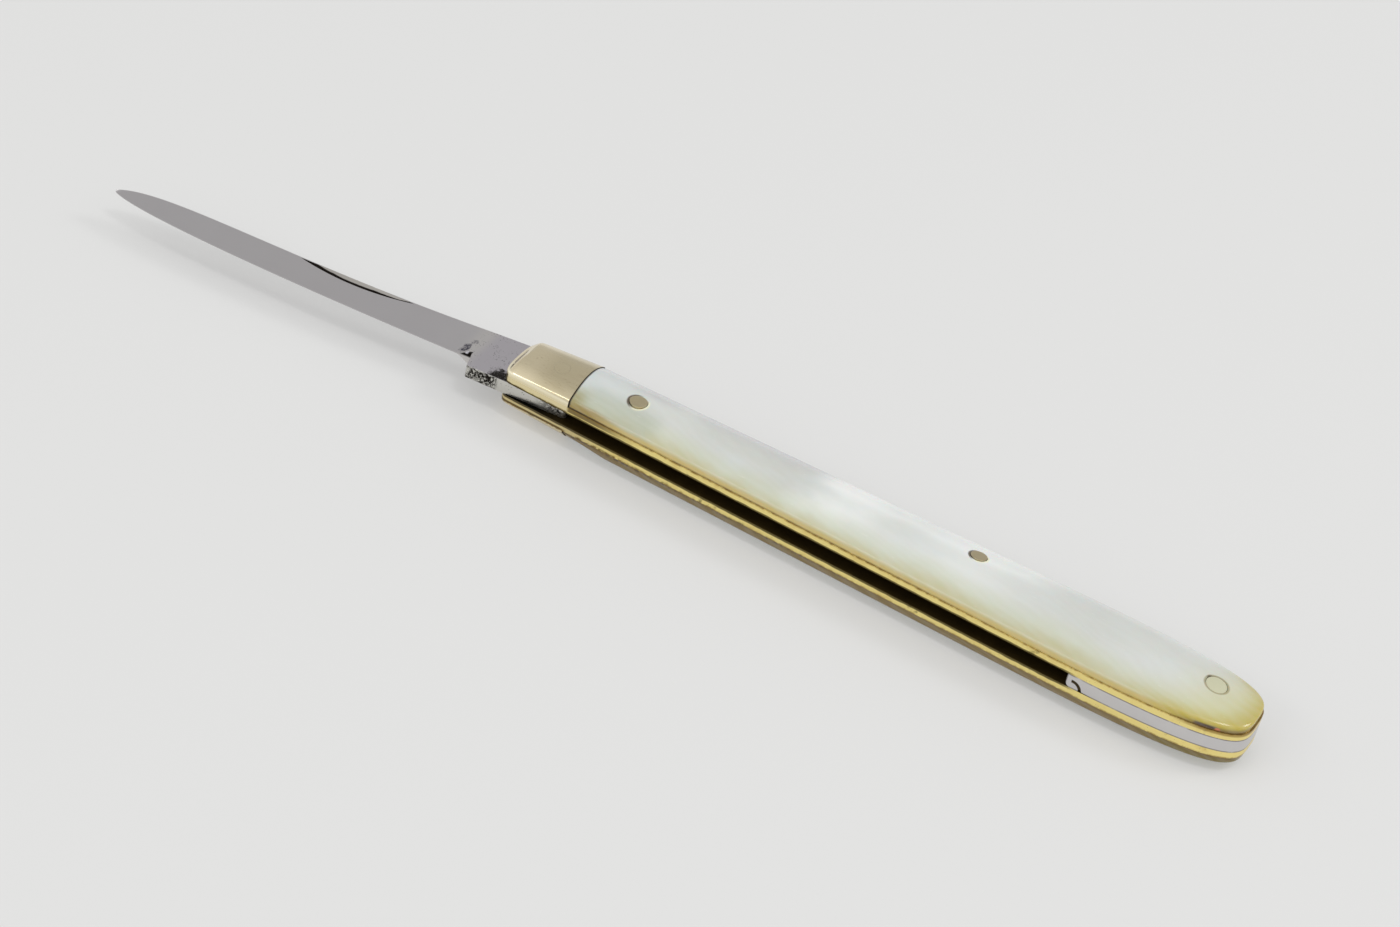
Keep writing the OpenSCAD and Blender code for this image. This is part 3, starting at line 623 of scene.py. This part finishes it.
def side_w(x):
    """Half the width between the straight sides of the handle at x."""
    return FRONT_W / 2 + (BUTT_W - FRONT_W) / 2 * x / HANDLE_LEN


def half_w(x):
    """Half the width of the handle's outline at x."""
    u = min(max(0, (x - BUTT_FROM) / BUTT_ROUND_LEN), 1)
    f = min(max(0, 1 - x / FRONT_ROUND_LEN), 1)
    return (side_w(x) * (1 - u ** BUTT_SQUARE) ** (1 / BUTT_SQUARE)
            * (1 - f ** FRONT_SQUARE) ** (1 / FRONT_SQUARE))


def end_point(start, end, square, inset, rho, phi, run):
    """Point of a rounded end: rho is 1 on the outline and 0 on the middle line."""
    c = max(0.0, math.cos(phi))
    r = 1 / (c ** square + abs(math.sin(phi)) ** square) ** (1 / square)
    length = end - start
    row_len = length - math.copysign(run * (1 - rho), length)
    x = start + r * row_len * c
    y = r * rho * (side_w(x) - inset) * math.sin(phi)
    return x, max(-WIDEST, min(WIDEST, y))


END_STEPS = 60
END_ANGLES = [math.pi / 2 * i / END_STEPS for i in range(-END_STEPS, END_STEPS + 1)]


def handle_outline():
    butt = [end_point(BUTT_FROM, HANDLE_LEN, BUTT_SQUARE, 0, 1, a, 0) for a in END_ANGLES]
    front = [end_point(FRONT_ROUND_LEN, 0, FRONT_SQUARE, 0, 1, -a, 0) for a in END_ANGLES]
    return butt + front


TO_MODEL = Matrix.Scale(MM, 4) @ Matrix.Translation((-MID_X, 0, 0))


def placed(name, bm, materials):
    """Object made of a bmesh, whose millimetres in handle coordinates become the model's metres."""
    bmesh.ops.transform(bm, matrix=TO_MODEL, verts=bm.verts)
    mesh = bpy.data.meshes.new(name)
    bm.to_mesh(mesh)
    bm.free()
    made = new_object(name, mesh)
    for material in materials:
        mesh.materials.append(material)
    return made


def mesh_object(name, bm, materials, body, nodes):
    """Finer mesh that takes the place of CAD nodes and rides on a body."""
    piece = placed(name, bm, materials)
    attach(piece, body)
    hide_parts(*nodes)
    return piece


def smooth(piece, angle=32):
    piece.data.shade_smooth()
    piece.data.set_sharp_from_angle(angle=math.radians(angle))


def rounded(bm, edges, width, clamp=False):
    """Bevels edges by a width, in two segments."""
    bmesh.ops.bevel(bm, geom=edges, offset=width, segments=2, profile=0.5, affect="EDGES",
                    clamp_overlap=clamp)


def prism(outline, z0, z1, bevel=0.0):
    """Solid over an outline, with its upper and lower rims rounded by bevel."""
    bm = bmesh.new()
    low = [bm.verts.new((x, y, z0)) for x, y in outline]
    high = [bm.verts.new((x, y, z1)) for x, y in outline]
    caps = [bm.faces.new(reversed(low)), bm.faces.new(high)]
    n = len(outline)
    for i in range(n):
        j = (i + 1) % n
        bm.faces.new((low[i], low[j], high[j], high[i]))
    if bevel:
        rounded(bm, [e for cap in caps for e in cap.edges], bevel)
    return bm


def cut(piece, cutters):
    """Takes the cutters, given as bmeshes in millimetres, out of the piece."""
    for bm in cutters:
        bmesh.ops.recalc_face_normals(bm, faces=bm.faces)
        tool = placed("cutter", bm, piece.data.materials)
        change = piece.modifiers.new("cut", "BOOLEAN")
        change.operation = "DIFFERENCE"
        change.solver = "EXACT"
        change.object = tool
        evaluated = piece.evaluated_get(bpy.context.evaluated_depsgraph_get())
        made = bpy.data.meshes.new_from_object(evaluated)
        piece.modifiers.clear()
        old, mesh = piece.data, tool.data
        piece.data = made
        bpy.data.objects.remove(tool)
        for left_over in (old, mesh):
            bpy.data.meshes.remove(left_over)


def rod(at, d, z0, z1):
    """Round cutter on a vertical axis."""
    steps = 96
    turn = [2 * math.pi * i / steps for i in range(steps)]
    return prism([(at[0] + d / 2 * math.cos(a), at[1] + d / 2 * math.sin(a)) for a in turn], z0, z1)


def dome_profile():
    """Height of a scale over its liner, as pairs of rho and height, from the edge inward."""
    mid_half = side_w(HANDLE_LEN / 2)
    crown_rho = 1 - SCALE_EDGE_R * (1 - math.cos(EDGE_END_ANGLE)) / mid_half
    crown_z = SCALE_WALL + SCALE_EDGE_R * math.sin(EDGE_END_ANGLE)
    dome_h = (SCALE_T - crown_z) / (1 - FLAT_SHARE ** 2)
    rows = [(1, 0), (1, SCALE_WALL * 0.5)]
    edge_steps = 12
    for i in range(edge_steps + 1):
        a = EDGE_END_ANGLE * i / edge_steps
        rho = 1 - SCALE_EDGE_R * (1 - math.cos(a)) / mid_half
        rows.append((rho, SCALE_WALL + SCALE_EDGE_R * math.sin(a)))
    dome_steps = 22
    for i in range(1, dome_steps + 1):
        s = 1 - (1 - FLAT_SHARE) * i / dome_steps
        rows.append((s * crown_rho, crown_z + dome_h * (1 - s * s)))
    return rows, crown_rho, crown_z, dome_h


def front_share(x):
    return max(0, 1 - x / BOLSTER_LEN)


def worn_share(x):
    """Share of its height that the edge of a pile plate has lost at x."""
    return PILE_WEAR * max(0, min(1, (PILE_WEAR_END - x) / (PILE_WEAR_END - BOLSTER_LEN)))


def wear_reach(rho, crown_rho):
    return max(0, min(1, (rho / crown_rho - WEAR_FROM) / (1 - WEAR_FROM))) ** 2


def domed_plate(cut_x, from_x, end_x, square, inset, run, bevel, pile):
    """Plate with a domed top on z = 0, cut off square at cut_x and rounded towards end_x."""
    rows, crown_rho, crown_z, _ = dome_profile()
    stations = 36
    straight = [cut_x + (from_x - cut_x) * i / stations for i in range(stations)]
    last_straight = len(straight) - 1
    columns = 2 * stations + len(END_ANGLES)
    bm = bmesh.new()
    grid = []
    for k in range(columns):
        line = []
        for rho, z in rows:
            slope_in = 0
            if k <= last_straight:
                x, y = straight[k], -rho * (side_w(straight[k]) - inset)
            elif columns - 1 - k <= last_straight:
                x = straight[columns - 1 - k]
                y = rho * (side_w(x) - inset)
            else:
                phi = END_ANGLES[k - stations]
                x, y = end_point(from_x, end_x, square, inset, rho, phi, run)
                sloped = max(0, min(1, (z - SCALE_WALL) / (crown_z - SCALE_WALL)))
                slope_in = math.copysign(bevel * sloped * math.cos(phi), cut_x - end_x)
            lean = BOLSTER_LEAN * front_share(x) * min(1, z / SCALE_WALL) * max(0, y) / side_w(x)
            fall = 0 if z == 0 else BOLSTER_FALL * front_share(x)
            worn = worn_share(x) * wear_reach(rho, crown_rho) * (min(z, crown_z) - fall) if pile else 0
            line.append(bm.verts.new((x + slope_in, y - lean, z - fall - worn)))
        grid.append(line)
    for a, b in zip(grid, grid[1:]):
        for j in range(len(rows) - 1):
            bm.faces.new((a[j], a[j + 1], b[j + 1], b[j]))
    # Flat crown, underside and cut face, each in strips from one long side to the other
    for row in (len(rows) - 1, 0):
        for k in range((columns - 1) // 2):
            a, b = grid[k][row], grid[columns - 1 - k][row]
            c, d = grid[columns - 2 - k][row], grid[k + 1][row]
            corners = [a, b, c] if c == d else [a, b, c, d]
            bm.faces.new(corners if row else corners[::-1])
    for j in range(len(rows) - 1):
        bm.faces.new((grid[0][j + 1], grid[0][j], grid[-1][j], grid[-1][j + 1]))
    bmesh.ops.recalc_face_normals(bm, faces=bm.faces)
    rim = [e for e in bm.edges if all(abs(v.co.x - cut_x) < 1e-5 for v in e.verts)
           and len(e.link_faces) == 2 and abs(e.calc_face_angle(0)) > 0.9 and e.verts[0].co.z > 0.01]
    rounded(bm, rim, RIM_BEVEL, clamp=True)
    return bm


def turned(bm, pile):
    """Puts a plate over the mark liner, or under the pile liner."""
    lift = Matrix.Translation((0, 0, SCALE_Z))
    flip = Matrix.Translation((0, 0, THICKNESS)) @ Matrix.Scale(-1, 4, (0, 0, 1))
    bmesh.ops.transform(bm, matrix=flip @ lift if pile else lift, verts=bm.verts)
    if pile:
        bmesh.ops.reverse_faces(bm, faces=bm.faces)
    return bm


def row_at(x, y):
    """The rho of a scale's row that runs through a point."""
    low, high = 0.0, 1.0
    for _ in range(24):
        rho = (low + high) / 2
        u = max(0, x - BUTT_FROM) / (BUTT_ROUND_LEN - SCALE_END_GAP - SCALE_END_RUN * (1 - rho))
        s = abs(y) / (rho * side_w(x))
        if u ** BUTT_SQUARE + s ** BUTT_SQUARE > 1:
            low = rho
        else:
            high = rho
    return rho


def dome_z(rho):
    """Height of the domed surface over the liner at rho."""
    crown_rho, crown_z, dome_h = dome_profile()[1:]
    s = max(FLAT_SHARE, rho / crown_rho)
    return crown_z + dome_h * (1 - s * s)


def bolster_z(x, y):
    """Height of a bolster over its liner at a point on its straight part."""
    return dome_z(abs(y) / side_w(x)) - BOLSTER_FALL * front_share(x)


def make_scale(pile):
    side = "pile" if pile else "mark"
    bm = domed_plate(BOLSTER_LEN + SCALE_JOINT_GAP, BUTT_FROM, HANDLE_LEN - SCALE_END_GAP,
                     BUTT_SQUARE, SCALE_SIDE_GAP, SCALE_END_RUN, 0, pile)
    piece = mesh_object(side + "_pearl_plate", turned(bm, pile), [pearl(side + "_pearl", pile)],
                        "handle", [side + "_scale"])
    tools = []
    for at, head in HEAD_D.items():
        seat = SCALE_Z + dome_z(row_at(*at)) - HEAD_SEAT - 0.01
        for d, z0 in ((PIN_D + HOLE_PLAY, SCALE_Z - 1), (head + 2 * HEAD_PLAY, seat)):
            z1 = THICKNESS + 1
            tools.append(rod(at, d, THICKNESS - z1, THICKNESS - z0) if pile else rod(at, d, z0, z1))
    cut(piece, tools)
    smooth(piece)


def make_bolster(pile):
    side = "pile" if pile else "mark"
    bm = domed_plate(BOLSTER_LEN, FRONT_ROUND_LEN, 0, FRONT_SQUARE, 0, FRONT_ROUND_LEN, FRONT_BEVEL,
                     pile)
    metal = nickel_silver(side + "_nickel_silver", pile)
    piece = mesh_object(side + "_bolster_cap", turned(bm, pile), [metal], "handle",
                        [side + "_bolster"])
    cut(piece, [rod(PIVOT, PIVOT_D + HOLE_PLAY, -1, THICKNESS + 1)])
    smooth(piece)
    return metal


def make_pivot_pin(metals):
    """Pivot pin, peened over and polished with the bolsters so that its ends follow them."""
    turns = 64
    rings = 7
    bm = bmesh.new()
    columns = []
    for i in range(turns):
        a = 2 * math.pi * i / turns
        top, bottom = [], []
        for ring in range(rings, 0, -1):
            x = PIVOT[0] + PIVOT_D / 2 * ring / rings * math.cos(a)
            y = PIVOT[1] + PIVOT_D / 2 * ring / rings * math.sin(a)
            rise = bolster_z(x, y)
            top.append(bm.verts.new((x, y, SCALE_Z + rise)))
            bottom.append(bm.verts.new((x, y, SCALE_T - rise)))
        columns.append(bottom[::-1] + top)
    rise = bolster_z(*PIVOT)
    centre = bm.verts.new((*PIVOT, SCALE_Z + rise))
    low_centre = bm.verts.new((*PIVOT, SCALE_T - rise))
    for i, a in enumerate(columns):
        b = columns[(i + 1) % turns]
        for j in range(len(a) - 1):
            bm.faces.new((a[j], b[j], b[j + 1], a[j + 1]))
        bm.faces.new((a[-1], b[-1], centre))
        bm.faces.new((b[0], a[0], low_centre))
    for f in bm.faces:
        f.material_index = 0 if f.calc_center_median().z > MID_Z else 1
    piece = mesh_object("pivot_pin_peened", bm, metals, "handle", ["pivot_pin"])
    smooth(piece)


def make_liner(pile):
    side = "pile" if pile else "mark"
    z0 = SCALE_T if pile else WELL_Z + WELL_W
    bm = prism(handle_outline(), z0, z0 + LINER_T, RIM_BEVEL)
    inner_z = WELL_Z if pile else WELL_Z + WELL_W
    bm.faces.ensure_lookup_table()
    # The face towards the well takes the second brass, painted dark as shade
    for f in bm.faces:
        if all(abs(v.co.z - inner_z) < 1e-4 for v in f.verts):
            f.material_index = 1
    piece = mesh_object(side + "_brass_plate", bm,
                        [liner_brass(side + "_brass", False, pile),
                         liner_brass(side + "_well_brass_painted_shade", True, pile)],
                        "handle", [side + "_liner"])
    cut(piece, [rod(PIVOT, PIVOT_D + HOLE_PLAY, 0, THICKNESS)]
        + [rod(at, PIN_D + HOLE_PLAY, 0, THICKNESS) for at in HEAD_D])
    smooth(piece)


def ease(s):
    return s * s * (3 - 2 * s)


def arc(centre, r, a0, a1, steps):
    turn = [math.radians(a0 + (a1 - a0) * i / steps) for i in range(steps + 1)]
    return [(centre[0] + r * math.cos(a), centre[1] + r * math.sin(a)) for a in turn]


def spring_outline():
    """Outline of the spring, and how many of its points lie inside the well."""
    face_y = PIVOT[1] + TANG_R + SPRING_GAP
    tip_x = PIVOT[0] - TANG_R + SPRING_GAP + 0.02
    landing = PIVOT[0] + KICK_REACH + 2
    hump_y = MIDDLE_PIN[1] - PIN_D / 2 - SPRING_PIN_WALL
    hump = 6
    arm_end = MIDDLE_PIN[0] - hump - 8
    steps = 24

    def arm_y(x):
        return half_w(x) - SPRING_ARM
    line = [(tip_x, face_y), (landing, face_y)]
    for i in range(1, steps + 1):
        x = landing + (arm_end - landing) * i / steps
        line.append((x, face_y + (arm_y(x) - face_y) * ease(i / steps)))
    for i in range(1, steps + 1):
        x = arm_end + (hump + 6) * i / steps
        line.append((x, arm_y(x) + (hump_y - arm_y(x)) * ease(i / steps)))
    for i in range(steps + 1):
        x = MIDDLE_PIN[0] + 2 + hump * i / steps
        line.append((x, hump_y + (arm_y(x) - 0.6 - hump_y) * ease(i / steps)))
    arc_r = 3.2
    nose_round = 0.35
    line += arc((NOSE_X - arc_r + 2.2, arm_y(NOSE_X) - 0.6 - arc_r), arc_r, 80, 0, 20)
    well_end = len(line)
    line += arc((NOSE_X + nose_round, -half_w(NOSE_X) + nose_round), nose_round, 180, 270, 10)
    for a in END_ANGLES:
        p = end_point(BUTT_FROM, HANDLE_LEN, BUTT_SQUARE, 0, 1, a, 0)
        if p[1] > 0 or p[0] > NOSE_X + 1:
            line.append(p)
    line.append((tip_x, half_w(tip_x)))
    return line, well_end


def groove_cutter(centre, r, d, end_angle):
    """Round groove cutter, swept from 0 to end_angle about a horizontal axis along y."""
    bm = bmesh.new()
    rings = []
    steps = 40
    sides = 20
    for i in range(steps + 1):
        a = math.radians(end_angle * i / steps)
        ring = []
        for j in range(sides):
            t = 2 * math.pi * j / sides
            out = r + d / 2 * math.cos(t)
            ring.append(bm.verts.new((centre[0] + out * math.cos(a), centre[1] + d / 2 * math.sin(t),
                                      centre[2] + out * math.sin(a))))
        rings.append(ring)
    for a, b in zip(rings, rings[1:]):
        for j in range(sides):
            k = (j + 1) % sides
            bm.faces.new((a[j], a[k], b[k], b[j]))
    bm.faces.new(rings[0][::-1])
    bm.faces.new(rings[-1])
    return bm


def slab(outline_xz, y0, y1):
    """Cutter over an outline in the xz plane."""
    bm = prism(outline_xz, y0, y1)
    bmesh.ops.transform(bm, matrix=Matrix(((1, 0, 0, 0), (0, 0, 1, 0), (0, 1, 0, 0), (0, 0, 0, 1))),
                        verts=bm.verts)
    return bm


def darkened(bm):
    """Gives a cutter's faces the second material: the nick's steel on the blade, and on the spring the
    well's steel, painted dark as shade.
    """
    for f in bm.faces:
        f.material_index = 1
    return bm


def make_spring():
    """Back spring, with the scribed groove on its rounded nose, which opens below as in the photo."""
    outline, well_end = spring_outline()
    bm = prism(outline, WELL_Z, WELL_Z + WELL_W)
    for f in bm.faces:
        # Faces that look into the well take the second steel, painted dark as shade
        middle = f.calc_center_median()
        in_well = any(math.dist(middle.xy, ((a[0] + b[0]) / 2, (a[1] + b[1]) / 2)) < 1e-3
                      for a, b in zip(outline[:well_end - 1], outline[1:well_end]))
        f.material_index = 1 if in_well else 0
    rims = [e for e in bm.edges if abs(e.verts[0].co.z - e.verts[1].co.z) < 1e-6]
    rounded(bm, rims, 0.04)
    piece = mesh_object("back_spring_steel", bm, [spring_steel(False), spring_steel(True)], "handle",
                        ["back_spring"])
    groove_r = 0.96
    nose_y = -half_w(NOSE_X + groove_r)
    corner = 0.8
    rounding = [(NOSE_X - 1, WELL_Z - 1), (NOSE_X + corner, WELL_Z - 1)]
    rounding += arc((NOSE_X + corner, WELL_Z + corner), corner, 270, 180, 16)
    rounding += [(NOSE_X - 1, WELL_Z + corner)]
    opening = [(NOSE_X + 1.5, WELL_Z - 1), (NOSE_X + 3.5, WELL_Z - 1), (NOSE_X + 3.5, WELL_Z),
               (NOSE_X + 1.5, WELL_Z + 0.14)]
    # The groove and the opening under the nose take the well's steel, dark as a pit and as painted shade
    cut(piece, [slab(rounding, nose_y - 1, nose_y + 1.2),
                darkened(groove_cutter((NOSE_X + 0.78, nose_y, WELL_Z - 0.1), groove_r, 0.34, 98)),
                darkened(slab(opening, nose_y - 1.5, nose_y + 0.5)),
                *(rod(at, PIN_D + HOLE_PLAY, 0, THICKNESS) for at in (MIDDLE_PIN, BUTT_PIN))])
    smooth(piece)


GROUND_LEN = BLADE_LEN - RICASSO_LEN
POINT_CUT = 0.08
TIP = (-BLADE_LEN - POINT_CUT, -TIP_DROP)
SPINE_CURVE = ((-RICASSO_LEN, HEEL_SPINE), (-RICASSO_LEN - GROUND_LEN * 0.55, HEEL_SPINE - 4.17),
               (TIP[0] + GROUND_LEN * 0.0935, TIP[1] + 4), TIP)
EDGE_CURVE = ((-RICASSO_LEN, -HEEL_EDGE), (-RICASSO_LEN - GROUND_LEN / 3, -HEEL_EDGE - 1.5),
              (TIP[0] + GROUND_LEN * 0.08, TIP[1] - 2.15), TIP)


def bezier(curve, t):
    weights = ((1 - t) ** 3, 3 * t * (1 - t) ** 2, 3 * t * t * (1 - t), t ** 3)
    return [sum(w * p[i] for w, p in zip(weights, curve)) for i in range(2)]


def height_at(curve, x):
    low, high = 0.0, 1.0
    for _ in range(30):
        t = (low + high) / 2
        if bezier(curve, t)[0] > x:
            low = t
        else:
            high = t
    return bezier(curve, t)[1]


def spine_half(x):
    return (BLADE_T + (TIP_T - BLADE_T) * (-x - RICASSO_LEN) / GROUND_LEN) / 2


def half_at(x, share):
    """Half the thickness of the blade at a share of the way from the edge to the spine."""
    h = spine_half(x)
    g = ease(min(1, max(0, (-x - RICASSO_LEN) / PLUNGE_LEN)))
    lean = (h - EDGE_T / 2) / (BLADE_T / 2 - EDGE_T / 2)
    e = h + (EDGE_T / 2 - h) * g
    return e + (h - e) * share - HOLLOW * lean * g * 4 * share * (1 - share)


def tang_outline():
    closed = CLOSED_ANGLE - 90
    down = math.radians(closed)
    corner_in = TANG_R - TANG_CORNER_R
    lower = (PIVOT[0] + corner_in, PIVOT[1] - corner_in * (1 - math.cos(down)) / math.sin(down))
    upper = (PIVOT[0] + corner_in, PIVOT[1] + corner_in)
    kick = (PIVOT[0] + TANG_R * math.cos(down) - KICK_REACH * math.sin(down),
            PIVOT[1] - TANG_R * math.sin(down) - KICK_REACH * math.cos(down))
    kick_r = 0.25
    kick_lean = 0.35
    shoulder = PIVOT[0] - TANG_R
    line = arc((kick[0] + kick_r - kick_lean / 2, kick[1] + kick_r), kick_r, 195, 265, 8)
    line += arc(lower, TANG_CORNER_R, -closed, 0, 12)
    line += arc(upper, TANG_CORNER_R, 0, 90, 12)
    line += [(shoulder, PIVOT[1] + TANG_R), (shoulder, half_w(shoulder)),
             (FRONT_ROUND_LEN - 2, half_w(FRONT_ROUND_LEN) - 0.05)]
    return line


def make_blade():
    """Tang and ground blade in one skin, then the nail nick and the pivot bore."""
    rows = 14
    shares = [i / rows for i in range(rows + 1)]
    plunge = PLUNGE_LEN / GROUND_LEN
    stations = [plunge * i / 18 for i in range(18)]
    stations += [plunge + (0.93 - plunge) * i / 110 for i in range(110)]
    stations += [0.93 + 0.07 * math.sin(math.pi / 2 * i / 22) for i in range(23)]
    bm = bmesh.new()
    rings = []
    for u in stations:
        x = -RICASSO_LEN - GROUND_LEN * u
        low, high = height_at(EDGE_CURVE, x), height_at(SPINE_CURVE, x)
        side = [(low + (high - low) * c, half_at(x, c)) for c in shares]
        ring = [(x, y, MID_Z + z) for y, z in side] + [(x, y, MID_Z - z) for y, z in reversed(side)]
        rings.append([bm.verts.new(point) for point in ring])
    size = len(rings[0])
    half = size // 2
    spine = []
    for a, b in zip(rings, rings[1:]):
        for i in range(size):
            j = (i + 1) % size
            bm.faces.new((a[i], a[j], b[j], b[i]))
        spine += [bm.edges.get((a[half - 1], b[half - 1])), bm.edges.get((a[half], b[half]))]
    bm.faces.new(rings[-1])
    tang = tang_outline()
    top = [bm.verts.new((x, y, MID_Z + BLADE_T / 2)) for x, y in tang]
    low = [bm.verts.new((x, y, MID_Z - BLADE_T / 2)) for x, y in tang]
    heel_top = rings[0][:half]
    heel_low = rings[0][half:][::-1]
    bm.faces.new(heel_top[::-1] + top)
    bm.faces.new(heel_low + low[::-1])
    chain_top = [heel_top[0]] + top + [heel_top[-1]]
    chain_low = [heel_low[0]] + low + [heel_low[-1]]
    for i in range(len(chain_top) - 1):
        bm.faces.new((chain_top[i], chain_top[i + 1], chain_low[i + 1], chain_low[i]))
    bmesh.ops.recalc_face_normals(bm, faces=bm.faces)
    rims = [e for e in bm.edges if e.calc_face_angle(0) > 0.9
            and abs(e.verts[0].co.z - e.verts[1].co.z) < 0.05
            and min(v.co.x for v in e.verts) > -RICASSO_LEN - 1e-4]
    rims = [e for e in rims if not all(abs(v.co.x + RICASSO_LEN) < 1e-4 for v in e.verts)]
    rounded(bm, list(set(rims + spine)), 0.05)
    piece = mesh_object("forged_blade", bm, [blade_steel(), nick_steel()], "blade",
                        ["blade"])
    cut(piece, [nick_cutter(), rod(PIVOT, PIVOT_D + 2 * PIVOT_PLAY, 0, THICKNESS)])
    smooth(piece, 24)


def nick_wheel():
    """Where the wheel that cuts the nail nick stands, with its axis along its own z, and its radius."""
    xa, xb = -NICK_AT, -NICK_AT - NICK_LEN
    xm = (xa + xb) / 2
    a = Vector((xa, height_at(SPINE_CURVE, xa) - NICK_INSET, MID_Z + half_at(xa, 1)))
    b = Vector((xb, height_at(SPINE_CURVE, xb) - NICK_INSET, MID_Z + half_at(xb, 1)))
    face_lean = math.atan((spine_half(xm) - EDGE_T / 2)
                          / (height_at(SPINE_CURVE, xm) - height_at(EDGE_CURVE, xm)))
    chord = b - a
    wheel_r = chord.length ** 2 / (8 * NICK_H) + NICK_H / 2
    lean = math.asin(2 * NICK_DEPTH / NICK_H) / 2
    centre_y = wheel_r - NICK_H * math.cos(lean)
    place = (Matrix.Translation((a + b) / 2) @ Matrix.Rotation(math.atan2(-chord.y, -chord.x), 4, "Z")
             @ Matrix.Rotation(math.asin(chord.z / chord.length), 4, "Y")
             @ Matrix.Rotation(lean + face_lean, 4, "X") @ Matrix.Translation((0, centre_y, 0)))
    return place, wheel_r


def nick_cutter():
    """Sector of the large wheel that makes the deep lower line of the nail nick."""
    place, wheel_r = nick_wheel()
    bm = darkened(prism(arc((0, 0), wheel_r, -120, -60, 260) + [(0, 0)], 0, 3))
    bmesh.ops.transform(bm, matrix=place, verts=bm.verts)
    return bm


def dress_pins():
    """The other rivets keep their CAD shapes and get their own metal, palest on the butt pin."""
    for name in ("mark_scale_pin", "pile_scale_pin", "middle_pin", "butt_pin"):
        pale = 0.9 if name == "butt_pin" else 0.0
        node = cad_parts[name]
        node.data.materials.clear()
        node.data.materials.append(pin_metal(name + "_metal", pale))


def make_floor():
    """Plain pale floor under the knife."""
    half = 2.0
    mesh = bpy.data.meshes.new("floor")
    mesh.from_pydata([(-half, -half, 0), (half, -half, 0), (half, half, 0), (-half, half, 0)], [],
                     [(0, 1, 2, 3)])
    floor = new_object("floor", mesh)
    s = Shader("floor")
    pale = linear((225, 225, 224))
    s.surface.inputs["Base Color"].default_value = pale
    s.surface.inputs["Roughness"].default_value = 0.9
    s.surface.inputs["Specular IOR Level"].default_value = 0.1
    # Seen directly or in the metal, part of the floor keeps its colour, so its shadows stay weak
    glow_share = 0.34
    rays = s.node("ShaderNodeLightPath").outputs
    seen = s.total(rays["Is Camera Ray"], rays["Is Glossy Ray"])
    glow = s.node("ShaderNodeEmission", Color=pale).outputs["Emission"]
    blend = s.node("ShaderNodeMixShader")
    layers = (s.product(seen, glow_share), s.surface.outputs["BSDF"], glow)
    for socket, value in zip(blend.inputs, layers):
        s.put(socket, value)
    s.put(s.tree.nodes["Material Output"].inputs["Surface"], blend.outputs["Shader"])
    mesh.materials.append(s.material)


def make_lamp(name, direction, distance, size, power):
    """Flat lamp that faces the knife from a direction. size is its width and height."""
    data = bpy.data.lights.new(name, "AREA")
    data.shape = "RECTANGLE"
    data.size, data.size_y = size
    data.energy = power
    lamp = new_object(name, data)
    away = Vector(direction).normalized()
    lamp.location = away * distance
    lamp.rotation_euler = (-away).to_track_quat("-Z", "Y").to_euler()


def make_lights():
    """Soft lamps above and behind the butt, a weak strip on the near side, and a pale room."""
    make_lamp("key", (0.33, -0.2, 0.92), 0.85, (0.17, 0.17), 0.8)
    make_lamp("window", (0.6, 0.45, 0.66), 0.9, (0.25, 0.25), 1.1)
    make_lamp("strip", (-0.3, -0.75, 0.59), 0.7, (0.45, 0.12), 0.5)
    world = bpy.data.worlds.new("room")
    bpy.context.scene.world = world
    world.use_nodes = True
    room = Nodes(world.node_tree)
    direction = room.node("ShaderNodeTexCoord").outputs["Generated"]
    # The room is darker above the far side, which is what the flat faces reflect
    toward = room.vector("DOT_PRODUCT", direction, Vector((-0.27, 0.7, 0.66)).normalized())
    strength = room.scaled(room.rise(toward, 0.38, 0.84), ROOM_DARK - ROOM_PALE, ROOM_PALE)
    background = room.tree.nodes["Background"].inputs
    room.put(background["Strength"], strength)
    room.put(background["Color"], (1, 1, 1, 1))


make_camera()
make_floor()
make_lights()
bolster_metals = []
for on_pile in (False, True):
    make_liner(on_pile)
    bolster_metals.append(make_bolster(on_pile))
    make_scale(on_pile)
make_pivot_pin(bolster_metals)
make_spring()
make_blade()
dress_pins()
bpy.context.scene.view_settings.view_transform = "Standard"
